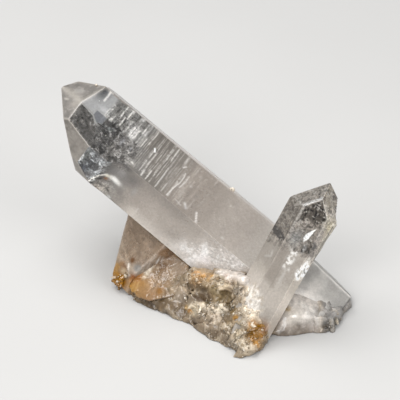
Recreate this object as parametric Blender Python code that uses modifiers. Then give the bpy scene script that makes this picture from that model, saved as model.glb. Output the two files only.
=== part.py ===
"""Clear quartz cluster, one intergrown specimen that rests on its own broken foot.

A long main crystal leans over to the left, a shorter one stands up through its root with a thin
sister crystal along its right side, and a stained crystal props the main one from below. All of
them grow out of a rough foot of granular quartz, so the whole specimen is one closed solid.

Units: the numbers below are millimetres and degrees; METRES turns them into Blender's metres.
Frame: +Z is up, +X is to the right as the specimen is shown, +Y goes away from the viewer.
The origin lies on the table, in the middle of the face that the foot rests on.
"""
import math

import bmesh
import bpy
import numpy as np
from mathutils import Matrix, Vector, noise

METRES = 0.001
SEED = 7

# Quartz: six sides 60 degrees apart round the long axis, point faces that lean 38.2 degrees to it.
POINT_LEAN = 38.2

# A crystal is a point on its axis, the axis direction from root to tip (heading in the table's
# plane from +X, rise above the table) and its faces. A face is (turn, lean, distance): turn is
# measured round the axis from its uphill side, lean is 0 for a side and more for a point face,
# and distance is from the point on the axis to the face, along the face's own normal.
MAIN_POINT = (-52.45, 45.39, 54.99)
MAIN_HEADING = 154.3
MAIN_RISE = 31.8
MAIN_STRIATED_SIDE = (20.6, 0.0, 15.5)
MAIN_SMOOTH_SIDE = (80.6, 0.0, 19.6)
MAIN_SIDES = [
    MAIN_STRIATED_SIDE,
    MAIN_SMOOTH_SIDE,
    (140.6, 0.0, 15.1),
    (-159.4, 0.0, 16.4),
    (-99.4, 0.0, 16.6),
    (-38.4, 0.5, 16.6),
    (-38.4, -3.3, 22.5),
]
MAIN_POINT_FACES = [
    (9.0, 36.3, 13.8),
    (25.1, 40.2, 13.8),
    (80.6, 12.0, 17.0),
    (113.6, 14.0, 14.6),
    (140.6, 39.5, 4.4),
    (-159.4, 40.0, 2.9),
    (-107.4, 45.0, 7.9),
    (-39.4, 29.4, 14.6),
]
MAIN_ROOT_REACH = 122.8

# The smooth side steps down from a raised cap near the tip; the sloping riser faces the root.
CAP_STEP = 3.5
CAP_END = 19.1
CAP_RISER_LEAN = -32.0

SECOND_POINT = (34.78, 1.87, 45.37)
SECOND_HEADING = 34.7
SECOND_RISE = 55.4
SECOND_FACES = [
    (-43.5, 0.0, 8.6),
    (18.5, 0.0, 7.0),
    (-103.5, 0.0, 10.1),
    (-161.5, 0.0, 7.4),
    (136.5, 0.0, 8.6),
    (76.5, 0.0, 8.3),
    (18.5, POINT_LEAN, 5.5),
    (-103.5, POINT_LEAN, 7.9),
    (136.5, POINT_LEAN, 6.6),
    (76.5, POINT_LEAN, 5.7),
]
SECOND_ROOT_REACH = 62.0

SISTER_POINT = (41.58, -1.3, 42.76)
SISTER_FACES = [
    (-43.5, -3.0, 4.1),
    (-103.5, -4.5, 3.7),
    (-163.5, 0.0, 2.1),
    (136.5, 0.0, 4.5),
    (46.5, 0.0, 4.5),
    (-103.5, 45.0, 1.6),
    (-43.5, POINT_LEAN, 1.3),
    (156.5, 40.0, 0.6),
]
SISTER_ROOT_REACH = 42.0

# The stained crystal points down to the left, and its end is broken off.
STAINED_POINT = (-31.23, 7.31, 9.74)
STAINED_HEADING = -164.9
STAINED_RISE = -43.7
STAINED_FACES = [
    (26.6, 0.0, 0.0),
    (86.6, 0.0, 0.0),
    (-25.9, 30.5, 8.7),
    (146.6, 0.0, 14.0),
    (-93.4, 0.0, 23.3),
    (-153.4, 0.0, 23.0),
    (29.8, 20.8, 0.1),
    (-21.3, 45.2, 9.2),
    (53.5, 71.5, 7.2),
]
STAINED_ROOT_REACH = 27.0

# The foot is a few blocks that grew together: each is the hull of its corners.
FOOT_BLOCKS = {
    "under_tip": [
        (-30, 11, -3), (-35, 17, -3), (-35, 30, -3), (-24, 39, -3), (-4, 41, -3), (-6, 8, -3), (-37, 15, 4),
        (-32, 23, 19), (-27, 34, 22), (-10, 37, 22), (-9, 13, 13), (-20, 15, 18),
    ],
    "belly": [
        (-38, 13, -3), (-34, 7, -3), (-30.6, 1, -3), (-23, -5, -3),
        (-12.5, -10.6, -3), (-6, 8, -3), (-28, 14, -3),
        (-30.5, 4, 4.5), (-25.4, 0.4, 4), (-17, -4, 5.6),
        (-10.9, -3.3, 10), (-12, 3, 12.6), (-15.5, 3.5, 10.7),
        (-21, 5, 7),
    ],
    "slope": [
        (-12.5, -10.6, -3), (-8, -16, -3), (-3, -20.8, -3), (1.3, -24, -3), (4.3, -28.4, -3), (10, -16, -3),
        (0, 5, -3), (-12, 5, -3), (-4.6, -12, 8.2), (-0.8, -16, 6.8), (4, -22, 4.4), (7, -26, 3.2),
        (-11, -4.4, 9.4), (1, -10, 9.4), (7, -14, 10),
    ],
    "middle": [
        (-12, 3, 12.8), (-9, 2.6, 14.4), (-4.5, -2, 12.4),
        (-1.5, -3, 13), (5.6, -7, 13.8), (3.5, -1.6, 16.6),
        (10, -2.4, 20.6), (12, 2, 20), (8.5, -9.8, 15), (0, -8.6, 9), (-10, 12, 14), (12, 16, 14),
        (-12, -4, -3), (12, -10, -3), (12, 20, -3), (-12, 20, -3),
    ],
    "toe": [
        (4, -28, -3), (8.3, -31.8, -3), (12.9, -28.8, -3), (17.6, -26, -3), (20.4, -19.5, -3), (6, -10, -3),
        (18, -10, -3), (11.3, -26.8, 3.4), (17, -24.6, 4.4), (16.6, -21.8, 10.2), (15.4, -18.6, 15.6),
        (10.5, -19, 14.6), (8.6, -10.4, 15), (10.2, -22, 8.6), (7, -26.8, 3.2), (12, -10, 18.5),
    ],
    "root": [
        (19, -19.4, -3), (31, -19, -3), (37.4, -17.4, -3), (38, -13, -3),
        (46, 4, -3), (34, 22, -3), (19, 22, -3),
        (25.3, -17.4, 2.6), (31, -13.8, 6.4), (27, -11.6, 9.2), (36, -11.6, 6.6), (23, -8, 13), (44, -2, 5),
    ],
    "heel": [
        (39.6, -15.8, -3), (42.6, -14.4, -3), (46.6, -10.6, -3), (49.2, -3, -3), (51, 0, -3), (48, 3, -3),
        (40, -8, -3), (40.6, -13.4, 1.8), (44.2, -9.4, 3.4), (47.8, -6.2, 3.2), (50.6, -0.6, 4.2),
    ],
}
FOOT_VOXEL = 1.6
FOOT_SMOOTHING = 0.3
FOOT_ROUGHNESS = 0.9
FOOT_ROUGHNESS_SCALE = 5.5
FOOT_GRAIN = 0.5
FOOT_GRAIN_SCALE = 1.6
FOOT_FACES_KEPT = 0.38

# Flat-sided fragments in the foot: each is the hull of its corners.
FRAGMENTS = {
    "stained_wedge": [
        (-34.0, 5.1, 5.2), (-30.8, 8.1, 8.4), (-25.9, 11.8, 12.3), (-20.9, 11.8, 13.6), (-15.7, 7.4, 13.4),
        (-11.3, 4.8, 13.3), (-11.3, -0.3, 9.7), (-17.0, -2.4, 6.1), (-21.6, -2.5, 4.8), (-26.2, -1.2, 3.4),
        (-30.9, 1.6, 2.7), (-22, 14, 2), (-14, 12, 4),
    ],
    "ridge": [
        (1.4, -18.4, 6.2), (5.5, -17, 10.2), (10.8, -22.4, 8.4), (2, -13, 4), (11, -17, 5), (6, -20.6, 5.2),
    ],
    "ledge": [
        (-2.4, -3.6, 12.6), (1.6, -6, 13.2), (5.8, -7.8, 13.6),
        (6.4, -4, 16), (0.4, -1, 15.4), (-2, -1, 14.4),
        (0, 0, 11), (5, -4, 11),
    ],
    "block": [
        (7.2, -10.6, 13.4), (9.6, -11.4, 13.8), (10.4, -8.6, 16.6),
        (7.4, -8, 16), (9, -6, 12), (11, -9, 12),
    ],
    "left_chip": [
        (-34.9, 9, 6.4), (-34.6, 9.6, 10.2), (-32.8, 10.6, 7.2), (-35.6, 12, 6.4), (-33.4, 12, 6),
    ],
    "pale_chip": [
        (-30.9, 8, 9.6), (-28.4, 8.2, 12.2), (-26.2, 9.4, 11), (-29, 11, 8), (-28, 7.4, 9),
    ],
    "toe_end": [
        (6.9, -29.6, -1), (8.6, -31.2, -1), (10.4, -30, -1), (8.4, -30, 2),
        (8, -25, 2), (10.6, -26, 2), (7, -25, -1),
    ],
}

# Rounded knobs: (centre, radii).
KNOBS = [
    ((13.3, -21.8, 8.3), (1.5, 1.4, 1.6)),
    ((13.7, -26.6, 2.6), (1.4, 1.3, 1.4)),
    ((9.8, -25.4, 4.2), (1.8, 1.6, 1.9)),
    ((30.4, -12.6, 5.2), (5.0, 3.6, 3.6)),
    ((-5.0, -1.9, 12.0), (1.9, 1.8, 2.4)),
    ((-8.2, -0.4, 12.2), (1.8, 1.8, 2.2)),
    ((-37.0, 11.4, 3.8), (2.4, 2.8, 3.0)),
]

# Hollows and pits in the foot: (centre, radii).
HOLLOWS = [
    ((1.2, -9.4, 11.4), (4.8, 3.6, 3.2)),
    ((-6.0, -7.4, 10.4), (2.0, 1.9, 2.1)),
    ((-3.0, -9.9, 9.6), (0.9, 1.0, 0.9)),
    ((0.7, -11.8, 9.6), (0.8, 0.9, 0.9)),
    ((-0.6, -12.4, 8.8), (0.7, 0.9, 0.7)),
    ((7.8, -21.6, 7.6), (1.7, 1.7, 1.5)),
    ((-17.6, -5.4, 6.6), (2.0, 1.8, 1.6)),
    ((38.6, -16.6, 3.0), (0.9, 3.2, 2.2)),
]

# Where angular grains and little crystal points crowd on the foot: (centre, spread, grains, points).
GRAIN_ZONES = [
    ((13.0, -16.0, 14.0), (3.4, 3.0, 4.0), 16, 1),
    ((-2.0, -12.0, 8.5), (6.0, 3.0, 2.6), 26, 2),
    ((9.0, -24.0, 5.0), (4.6, 3.6, 3.0), 26, 2),
    ((2.0, -3.0, 14.0), (7.0, 3.0, 3.0), 20, 4),
    ((-33.0, 8.0, 6.5), (3.4, 3.4, 3.0), 12, 3),
    ((-27.0, 5.0, 6.5), (5.0, 4.0, 4.0), 6, 1),
    ((-12.0, -5.0, 7.5), (5.0, 4.0, 3.6), 14, 2),
    ((45.0, -9.0, 2.0), (4.6, 4.6, 2.4), 22, 2),
    ((31.0, -14.0, 4.0), (6.0, 3.0, 3.0), 8, 0),
    ((-14.0, 38.0, 10.0), (12.0, 4.0, 7.0), 22, 5),
    ((-34.0, 26.0, 9.0), (4.0, 8.0, 7.0), 14, 3),
]
GRAIN_RADIUS = (0.7, 1.6)
GRAIN_CORNERS = 9
POINT_LENGTH = (2.6, 4.6)
POINT_SLIMNESS = (0.22, 0.32)
POINT_ROOT = 0.5
POINT_SHOULDER = 0.3
POINT_WANDER = 0.45
ZONE_FALLOFF = 0.6

# Growth ridges across the striated side, from the first to the last towards the root.
RIDGE_HEIGHT = 0.22
RIDGE_WIDTH = 0.55
RIDGE_SINK = 0.5
RIDGE_SIDE_SPAN = (-7.6, 8.6)
RIDGE_FIRST = 4.0
RIDGE_LAST = 66.0
RIDGE_COUNT = 22
RIDGE_SPREAD = 1.25

# Two small nubs on the main crystal's upper right edge.
NUBS = [(-45.8, 46.6, 70.1, 0.9), (5.9, 24.0, 37.2, 1.0)]

# A block this wide holds any of the crystals before its faces are cut.
BLOCK_WIDTH = 400.0

QUARTZ_COLOUR = (0.80, 0.77, 0.73, 1.0)
QUARTZ_ROUGHNESS = 0.12
QUARTZ_IOR = 1.544


def clear_scene():
    """Remove whatever objects the file holds."""
    for thing in list(bpy.data.objects):
        bpy.data.objects.remove(thing, do_unlink=True)


def new_collection(name):
    """A collection of that name in the scene."""
    collection = bpy.data.collections.get(name) or bpy.data.collections.new(name)
    if collection.name not in bpy.context.scene.collection.children:
        bpy.context.scene.collection.children.link(collection)
    return collection


def object_from(bm, name, collection):
    """Store a bmesh, whose points are millimetres, as an object in metres."""
    bmesh.ops.scale(bm, vec=(METRES, METRES, METRES), verts=bm.verts)
    bmesh.ops.recalc_face_normals(bm, faces=bm.faces)
    mesh = bpy.data.meshes.new(name)
    bm.to_mesh(mesh)
    bm.free()
    thing = bpy.data.objects.new(name, mesh)
    collection.objects.link(thing)
    return thing


def bake_modifiers(thing):
    """Replace an object's mesh by the mesh that its modifiers give."""
    graph = bpy.context.evaluated_depsgraph_get()
    graph.update()
    result = bpy.data.meshes.new_from_object(thing.evaluated_get(graph))
    old = thing.data
    thing.modifiers.clear()
    thing.data = result
    bpy.data.meshes.remove(old)


def combine(target, piece, operation):
    """Join a piece to the target, or cut it away, and drop the piece."""
    modifier = target.modifiers.new(piece.name, "BOOLEAN")
    modifier.operation = operation
    modifier.solver = "EXACT"
    modifier.use_self = True
    modifier.object = piece
    bake_modifiers(target)
    bpy.data.objects.remove(piece, do_unlink=True)


def axis_frame(heading, rise):
    """The axis, the level direction across it and its uphill side, as unit vectors."""
    turn = math.radians(heading)
    lift = math.radians(rise)
    axis = Vector((math.cos(lift) * math.cos(turn), math.cos(lift) * math.sin(turn), math.sin(lift)))
    level = Vector((0.0, 0.0, 1.0)).cross(axis).normalized()
    uphill = axis.cross(level)
    return axis, level, uphill


def face_normal(frame, turn, lean):
    """The outward normal of a crystal face, from its turn round the axis and its lean."""
    axis, level, uphill = frame
    around = math.radians(turn)
    tilt = math.radians(lean)
    out = level * math.sin(around) + uphill * math.cos(around)
    return out * math.cos(tilt) + axis * math.sin(tilt)


def cut_by_plane(bm, on_plane, outward):
    """Keep what lies behind the plane, and close the cut with one face."""
    everything = list(bm.verts) + list(bm.edges) + list(bm.faces)
    cut = bmesh.ops.bisect_plane(bm, geom=everything, plane_co=on_plane, plane_no=outward, clear_outer=True)
    edges = [item for item in cut["geom_cut"] if isinstance(item, bmesh.types.BMEdge)]
    if edges:
        bmesh.ops.holes_fill(bm, edges=edges)


def crystal(name, collection, point, heading, rise, faces, root_reach):
    """A crystal: a large block cut down by each of its flat faces, and broken off at its root."""
    frame = axis_frame(heading, rise)
    point = Vector(point)
    bm = bmesh.new()
    bmesh.ops.create_cube(bm, size=BLOCK_WIDTH, matrix=Matrix.Translation(point))
    for turn, lean, distance in faces:
        outward = face_normal(frame, turn, lean)
        cut_by_plane(bm, point + outward * distance, outward)
    cut_by_plane(bm, point - frame[0] * root_reach, -frame[0])
    return object_from(bm, name, collection)


def cap_ledge(collection):
    """What is missing beyond the smooth side, from the riser of the cap down to the root."""
    frame = axis_frame(MAIN_HEADING, MAIN_RISE)
    point = Vector(MAIN_POINT)
    turn, lean, distance = MAIN_SMOOTH_SIDE
    outward = face_normal(frame, turn, lean)
    riser = face_normal(frame, turn, CAP_RISER_LEAN)
    bm = bmesh.new()
    bmesh.ops.create_cube(bm, size=BLOCK_WIDTH, matrix=Matrix.Translation(point))
    cut_by_plane(bm, point + outward * (distance - CAP_STEP), -outward)
    cut_by_plane(bm, point + outward * distance - frame[0] * CAP_END, -riser)
    return object_from(bm, "cap_ledge", collection)


def growth_ridges(collection, random):
    """Low bars across the striated side, where growth paused; each spans part of the side's width."""
    frame = axis_frame(MAIN_HEADING, MAIN_RISE)
    turn, lean, distance = MAIN_STRIATED_SIDE
    outward = face_normal(frame, turn, lean)
    across = frame[0].cross(outward).normalized()
    surface = Vector(MAIN_POINT) + outward * distance
    low, high = RIDGE_SIDE_SPAN
    bm = bmesh.new()
    for index in range(RIDGE_COUNT):
        along = RIDGE_FIRST + (RIDGE_LAST - RIDGE_FIRST) * (index / (RIDGE_COUNT - 1)) ** RIDGE_SPREAD
        length = (high - low) * random.uniform(0.35, 0.85)
        middle = random.uniform(low + length / 2, high - length / 2)
        height = RIDGE_HEIGHT * random.uniform(0.6, 1.0)
        centre = surface + across * middle - frame[0] * along + outward * (height - RIDGE_SINK) / 2
        size = Matrix.Diagonal((length, RIDGE_WIDTH * random.uniform(0.5, 1.0), height + RIDGE_SINK, 1.0))
        turned = Matrix((across, frame[0], outward)).transposed().to_4x4()
        bmesh.ops.create_cube(bm, size=1.0, matrix=Matrix.Translation(centre) @ turned @ size)
    return object_from(bm, "growth_ridges", collection)


def hull(bm, corners):
    """Add the convex hull of the corners to the bmesh."""
    points = [bm.verts.new(corner) for corner in corners]
    made = bmesh.ops.convex_hull(bm, input=points)
    unused = [item for item in made["geom_interior"] if isinstance(item, bmesh.types.BMVert)]
    bmesh.ops.delete(bm, geom=unused, context="VERTS")


def rough_foot(collection):
    """The granular foot: its blocks grown together, with a broken, uneven surface."""
    bm = bmesh.new()
    for corners in FOOT_BLOCKS.values():
        hull(bm, corners)
    foot = object_from(bm, "foot", collection)
    remesh = foot.modifiers.new("grown_together", "REMESH")
    remesh.mode = "VOXEL"
    remesh.voxel_size = FOOT_VOXEL * METRES
    bake_modifiers(foot)
    bm = bmesh.new()
    bm.from_mesh(foot.data)
    bmesh.ops.scale(bm, vec=(1 / METRES, 1 / METRES, 1 / METRES), verts=bm.verts)
    bmesh.ops.smooth_vert(bm, verts=bm.verts, factor=FOOT_SMOOTHING,
                          use_axis_x=True, use_axis_y=True, use_axis_z=True)
    bm.normal_update()
    moves = []
    for point in bm.verts:
        broad = noise.noise(point.co / FOOT_ROUGHNESS_SCALE)
        fine = noise.noise(point.co / FOOT_GRAIN_SCALE + Vector((31.0, 17.0, 5.0)))
        moves.append(point.normal * (FOOT_ROUGHNESS * broad + FOOT_GRAIN * fine))
    for point, move in zip(bm.verts, moves):
        point.co += move
    bmesh.ops.triangulate(bm, faces=bm.faces)
    bpy.data.objects.remove(foot, do_unlink=True)
    foot = object_from(bm, "foot", collection)
    thin = foot.modifiers.new("coarser", "DECIMATE")
    thin.ratio = FOOT_FACES_KEPT
    bake_modifiers(foot)
    return foot


def fragments(collection):
    """Flat-sided fragments: the stained wedge, the sharp ridge, the ledge and a few chips."""
    bm = bmesh.new()
    for corners in FRAGMENTS.values():
        hull(bm, corners)
    return object_from(bm, "fragments", collection)


def knob(bm, centre, radii, random, subdivisions, unevenness):
    """Add an uneven, turned ball to the bmesh."""
    made = bmesh.ops.create_icosphere(bm, subdivisions=subdivisions, radius=1.0)
    turn = Matrix.Rotation(random.uniform(0, math.tau), 4, Vector(random.normal(size=3)).normalized())
    place = Matrix.Translation(Vector(centre)) @ Matrix.Diagonal((*radii, 1.0)) @ turn
    for point in made["verts"]:
        point.co *= 1.0 + unevenness * random.uniform(-1, 1)
        point.co = place @ point.co


def knobs(collection, random):
    """Rounded knobs and nodules of the foot."""
    bm = bmesh.new()
    for centre, radii in KNOBS:
        knob(bm, centre, radii, random, subdivisions=2, unevenness=0.08)
    return object_from(bm, "knobs", collection)


def hollows(collection, random):
    """What is missing in the foot's hollow and pits."""
    bm = bmesh.new()
    for centre, radii in HOLLOWS:
        knob(bm, centre, radii, random, subdivisions=2, unevenness=0.14)
    return object_from(bm, "hollows", collection)


def on_surface(foot, centre, spread, random):
    """A seeded place on the foot near the centre, with the surface's normal there."""
    aim = Vector(centre) + Vector(random.normal(size=3) * np.array(spread) * ZONE_FALLOFF)
    _, place, outward, _ = foot.closest_point_on_mesh(aim * METRES)
    return place / METRES, outward


def grain(bm, centre, random):
    """Add an angular grain: the hull of a few seeded corners round the centre."""
    radius = random.uniform(*GRAIN_RADIUS)
    corners = random.normal(size=(GRAIN_CORNERS, 3))
    corners /= np.linalg.norm(corners, axis=1)[:, None]
    corners *= radius * random.uniform(0.75, 1.25, size=3)
    hull(bm, [Vector(corner) + centre for corner in corners])


def little_point(bm, centre, outward, random):
    """Add a small six-sided crystal with its point, leaning out of the surface."""
    length = random.uniform(*POINT_LENGTH)
    radius = length * random.uniform(*POINT_SLIMNESS)
    lean = (outward + Vector(random.normal(scale=POINT_WANDER, size=3))).normalized()
    place = Matrix.Translation(centre) @ lean.to_track_quat("Z", "X").to_matrix().to_4x4()
    turns = [math.tau * step / 6 for step in range(6)]
    levels = (-POINT_ROOT * length, POINT_SHOULDER * length)
    corners = [Vector((radius * math.cos(turn), radius * math.sin(turn), level))
               for level in levels for turn in turns]
    point_height = radius * math.cos(math.pi / 6) / math.tan(math.radians(POINT_LEAN))
    corners.append(Vector((0.0, 0.0, POINT_SHOULDER * length + point_height)))
    hull(bm, [place @ corner for corner in corners])


def granular_crust(foot, collection, random):
    """The angular grains and little crystal points that crowd on parts of the foot."""
    bm = bmesh.new()
    for centre, spread, grain_count, point_count in GRAIN_ZONES:
        for _ in range(grain_count):
            place, _ = on_surface(foot, centre, spread, random)
            grain(bm, place, random)
        for _ in range(point_count):
            place, outward = on_surface(foot, centre, spread, random)
            little_point(bm, place, outward, random)
    return object_from(bm, "crust", collection)


def nubs(collection, random):
    """Tiny grains stuck to the main crystal's upper edge."""
    bm = bmesh.new()
    for x, y, z, radius in NUBS:
        knob(bm, (x, y, z), (radius, radius, radius), random, subdivisions=1, unevenness=0.2)
    return object_from(bm, "nubs", collection)


def quartz_material():
    """Clear quartz: glassy, faintly warm, with the refraction of the mineral."""
    material = bpy.data.materials.new("clear_quartz")
    material.use_nodes = True
    shader = material.node_tree.nodes["Principled BSDF"]
    shader.inputs["Base Color"].default_value = QUARTZ_COLOUR
    shader.inputs["Roughness"].default_value = QUARTZ_ROUGHNESS
    shader.inputs["Metallic"].default_value = 0.0
    shader.inputs["IOR"].default_value = QUARTZ_IOR
    shader.inputs["Transmission Weight"].default_value = 0.8
    return material


def rest_on_table(thing):
    """Cut everything below the table away, so that the foot rests on one flat face."""
    bm = bmesh.new()
    bm.from_mesh(thing.data)
    cut_by_plane(bm, Vector((0.0, 0.0, 0.0)), Vector((0.0, 0.0, -1.0)))
    bmesh.ops.triangulate(bm, faces=bm.faces)
    bmesh.ops.dissolve_degenerate(bm, edges=bm.edges, dist=1e-6)
    bm.to_mesh(thing.data)
    bm.free()


def main():
    clear_scene()
    collection = new_collection("quartz_cluster")
    random = np.random.default_rng(SEED)
    cluster = rough_foot(collection)
    cluster.name = "quartz_cluster"
    combine(cluster, knobs(collection, random), "UNION")
    combine(cluster, hollows(collection, random), "DIFFERENCE")
    combine(cluster, fragments(collection), "UNION")
    combine(cluster, granular_crust(cluster, collection, random), "UNION")
    stained = crystal("stained", collection, STAINED_POINT, STAINED_HEADING, STAINED_RISE,
                      STAINED_FACES, STAINED_ROOT_REACH)
    combine(cluster, stained, "UNION")
    long_one = crystal("main", collection, MAIN_POINT, MAIN_HEADING, MAIN_RISE,
                       MAIN_SIDES + MAIN_POINT_FACES, MAIN_ROOT_REACH)
    combine(long_one, cap_ledge(collection), "DIFFERENCE")
    combine(long_one, growth_ridges(collection, random), "UNION")
    combine(long_one, nubs(collection, random), "UNION")
    combine(cluster, long_one, "UNION")
    second = crystal("second", collection, SECOND_POINT, SECOND_HEADING, SECOND_RISE,
                     SECOND_FACES, SECOND_ROOT_REACH)
    sister = crystal("sister", collection, SISTER_POINT, SECOND_HEADING, SECOND_RISE,
                     SISTER_FACES, SISTER_ROOT_REACH)
    combine(second, sister, "UNION")
    combine(cluster, second, "UNION")
    rest_on_table(cluster)
    cluster.data.materials.clear()
    cluster.data.materials.append(quartz_material())


main()
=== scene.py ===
# %% [markdown]
# # Clear quartz cluster
# A hand-sized specimen: one long crystal that leans over to the left, a shorter one standing up
# through its root, a stained one that props it from below, and a granular foot that they grow from.
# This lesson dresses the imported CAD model. The flat faces come from the same turns, leans and
# distances as the solid, so every surface below lies where the solid says.

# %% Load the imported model
import math

import bpy
import numpy as np
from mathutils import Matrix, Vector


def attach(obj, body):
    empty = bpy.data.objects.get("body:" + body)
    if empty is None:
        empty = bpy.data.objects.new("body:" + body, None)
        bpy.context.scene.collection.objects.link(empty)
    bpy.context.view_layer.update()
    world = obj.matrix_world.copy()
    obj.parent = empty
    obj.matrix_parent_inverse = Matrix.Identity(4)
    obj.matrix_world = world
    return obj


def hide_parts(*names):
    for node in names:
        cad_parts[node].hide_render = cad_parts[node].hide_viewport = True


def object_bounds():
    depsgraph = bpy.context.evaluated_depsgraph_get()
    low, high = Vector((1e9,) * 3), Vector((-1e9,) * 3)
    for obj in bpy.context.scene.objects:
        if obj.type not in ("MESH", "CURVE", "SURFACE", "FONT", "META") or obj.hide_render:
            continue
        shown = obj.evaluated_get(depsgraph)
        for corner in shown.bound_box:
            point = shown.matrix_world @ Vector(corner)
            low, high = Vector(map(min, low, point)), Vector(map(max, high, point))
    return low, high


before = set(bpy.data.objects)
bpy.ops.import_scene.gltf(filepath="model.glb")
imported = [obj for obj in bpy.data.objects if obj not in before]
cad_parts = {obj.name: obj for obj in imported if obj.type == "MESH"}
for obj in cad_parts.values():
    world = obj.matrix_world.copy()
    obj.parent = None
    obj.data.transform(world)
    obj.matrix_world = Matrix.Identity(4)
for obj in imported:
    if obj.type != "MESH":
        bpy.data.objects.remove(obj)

METRES = 0.001
CLUSTER = "quartz_cluster"
cad_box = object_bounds()
print("CAD box in metres:", cad_box)

# %% [markdown]
# The specimen is photographed from a little above, with a long lens, so that its parallel edges
# stay nearly parallel. The view looks straight along +Y and down by 35 degrees.

# %% Camera
CAMERA_AIM = (-6.4, 13.1, 40.2)
CAMERA_DISTANCE = 624.0
CAMERA_ELEVATION = math.radians(35.0)

lens = bpy.data.cameras.new("camera")
lens.lens = 150.0
lens.sensor_width = 36.0
lens.clip_start = 0.05
lens.clip_end = 20.0
camera = bpy.data.objects.new("camera", lens)
camera.location = (
    CAMERA_AIM[0] * METRES,
    (CAMERA_AIM[1] - CAMERA_DISTANCE * math.cos(CAMERA_ELEVATION)) * METRES,
    (CAMERA_AIM[2] + CAMERA_DISTANCE * math.sin(CAMERA_ELEVATION)) * METRES,
)
camera.rotation_euler = (math.pi / 2 - CAMERA_ELEVATION, 0.0, 0.0)
bpy.context.scene.collection.objects.link(camera)
bpy.context.scene.camera = camera
print("camera at", tuple(round(value, 3) for value in camera.location))

# %% [markdown]
# Colours are written as the sRGB hex values that the eye picks from a screen. Shaders add and
# multiply light, so they need linear values, and one function turns one into the other.

# %% Colours and nodes
def linear(hex_colour):
    """Linear red, green and blue: each byte over 255, then the sRGB curve undone."""
    parts = np.array([int(hex_colour[k:k + 2], 16) for k in (1, 3, 5)]) / 255.0
    return np.where(parts <= 0.04045, parts / 12.92, ((parts + 0.055) / 1.055) ** 2.4)


def rgba(hex_colour):
    """The same, as the four numbers that a colour socket takes."""
    return (*[float(value) for value in linear(hex_colour)], 1.0)


def node(tree, kind, settings=None, **links):
    """Add a node; settings are its own properties, links are values or sockets for its inputs."""
    made = tree.nodes.new(kind)
    for key, value in (settings or {}).items():
        setattr(made, key, value)
    for key, value in links.items():
        socket = made.inputs[int(key[1:])] if key[1:].isdigit() else made.inputs[key.replace("_", " ")]
        if isinstance(value, bpy.types.NodeSocket):
            tree.links.new(value, socket)
        else:
            socket.default_value = value
    return made


def new_material(name):
    """An empty node material with its Principled shader wired to the output."""
    material = bpy.data.materials.new(name)
    material.use_nodes = True
    tree = material.node_tree
    tree.nodes.clear()
    shader = node(tree, "ShaderNodeBsdfPrincipled")
    node(tree, "ShaderNodeOutputMaterial", Surface=shader.outputs[0])
    return material, tree, shader


print("white is", rgba("#ffffff"))

# %% [markdown]
# The floor is a plain pale sheet with the faintest unevenness, so that it isn't one dead colour.
# The light is soft: a large lamp above and behind brightens the upward faces, as in the
# photograph, a second in front on the left fills the near ones, and a weaker one stands on the right.

# %% Floor and light
FLOOR_REACH = 3.0
reach = np.array([(-1, -1, 0), (1, -1, 0), (1, 1, 0), (-1, 1, 0)]) * FLOOR_REACH
floor_mesh = bpy.data.meshes.new("floor")
floor_mesh.from_pydata(reach.tolist(), [], [(0, 1, 2, 3)])
floor = bpy.data.objects.new("floor", floor_mesh)
floor.location.z = -0.0001
bpy.context.scene.collection.objects.link(floor)

# Matt card: no gloss, a faint cloudiness a hand wide.
card, tree, shader = new_material("pale_card")
where = node(tree, "ShaderNodeTexCoord")
cloud = node(tree, "ShaderNodeTexNoise", Vector=where.outputs["Object"], Scale=9.0, Detail=2.0)
tone = node(tree, "ShaderNodeMix", {"data_type": "RGBA"}, Factor=cloud.outputs["Fac"],
            _6=rgba("#aeadab"), _7=rgba("#b3b2b0"))
tree.links.new(tone.outputs[2], shader.inputs["Base Color"])
shader.inputs["Roughness"].default_value = 0.9
shader.inputs["Specular IOR Level"].default_value = 0.1
floor_mesh.materials.append(card)


def soft_lamp(name, place, aim, size, power):
    """A square area lamp at a place in metres, turned to face its aim."""
    data = bpy.data.lights.new(name, "AREA")
    data.size = size
    data.energy = power
    lamp = bpy.data.objects.new(name, data)
    lamp.location = place
    away = np.array(place) - np.array(aim)
    flat = math.hypot(away[0], away[1])
    lamp.rotation_euler = (math.atan2(flat, away[2]), 0.0, math.atan2(away[1], away[0]) + math.pi / 2)
    bpy.context.scene.collection.objects.link(lamp)
    return lamp


AIM = (0.0, 0.01, 0.03)
soft_lamp("overhead", (-0.25, 0.20, 0.95), AIM, 0.8, 12.0)
soft_lamp("front", (-0.35, -0.75, 0.77), AIM, 0.6, 9.2)
soft_lamp("fill", (0.7, -0.5, 0.5), AIM, 0.6, 4.5)

world = bpy.data.worlds.new("studio")
world.use_nodes = True
world.node_tree.nodes["Background"].inputs["Color"].default_value = rgba("#d8dade")
world.node_tree.nodes["Background"].inputs["Strength"].default_value = 0.45
bpy.context.scene.world = world
bpy.context.scene.view_settings.view_transform = "Standard"
print("floor, three lamps and a grey room")

# %% [markdown]
# Natural surfaces are never even. Two noises give the unevenness: a smooth one that blends random
# numbers on a lattice, and a cell one that measures how far the nearest of many scattered seeds
# lies, which reads as grains.

# %% Noise worked out with whole arrays
FAR_AWAY = 9.0


def lattice(cell, seed):
    """A random number from 0 to 1 for each whole-number cell: the cell's three numbers, mixed up."""
    mixed = cell[..., 0] * 374761393 + cell[..., 1] * 668265263 + cell[..., 2] * 1440662683 + seed * 974634777
    mixed = (mixed ^ (mixed >> 13)) * 1274126177
    mixed = (mixed ^ (mixed >> 16)) * 2246822519
    return ((mixed ^ (mixed >> 15)) & 0xFFFFF) / float(0xFFFFF)


def blended(part, value_at):
    """The values at the eight corners round each point, each weighted by how near the point is to it."""
    total = 0.0
    for corner in np.ndindex(2, 2, 2):
        weight = np.prod(np.where(corner, part, 1.0 - part), axis=-1)
        total = total + weight * value_at(np.array(corner))
    return total


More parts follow.
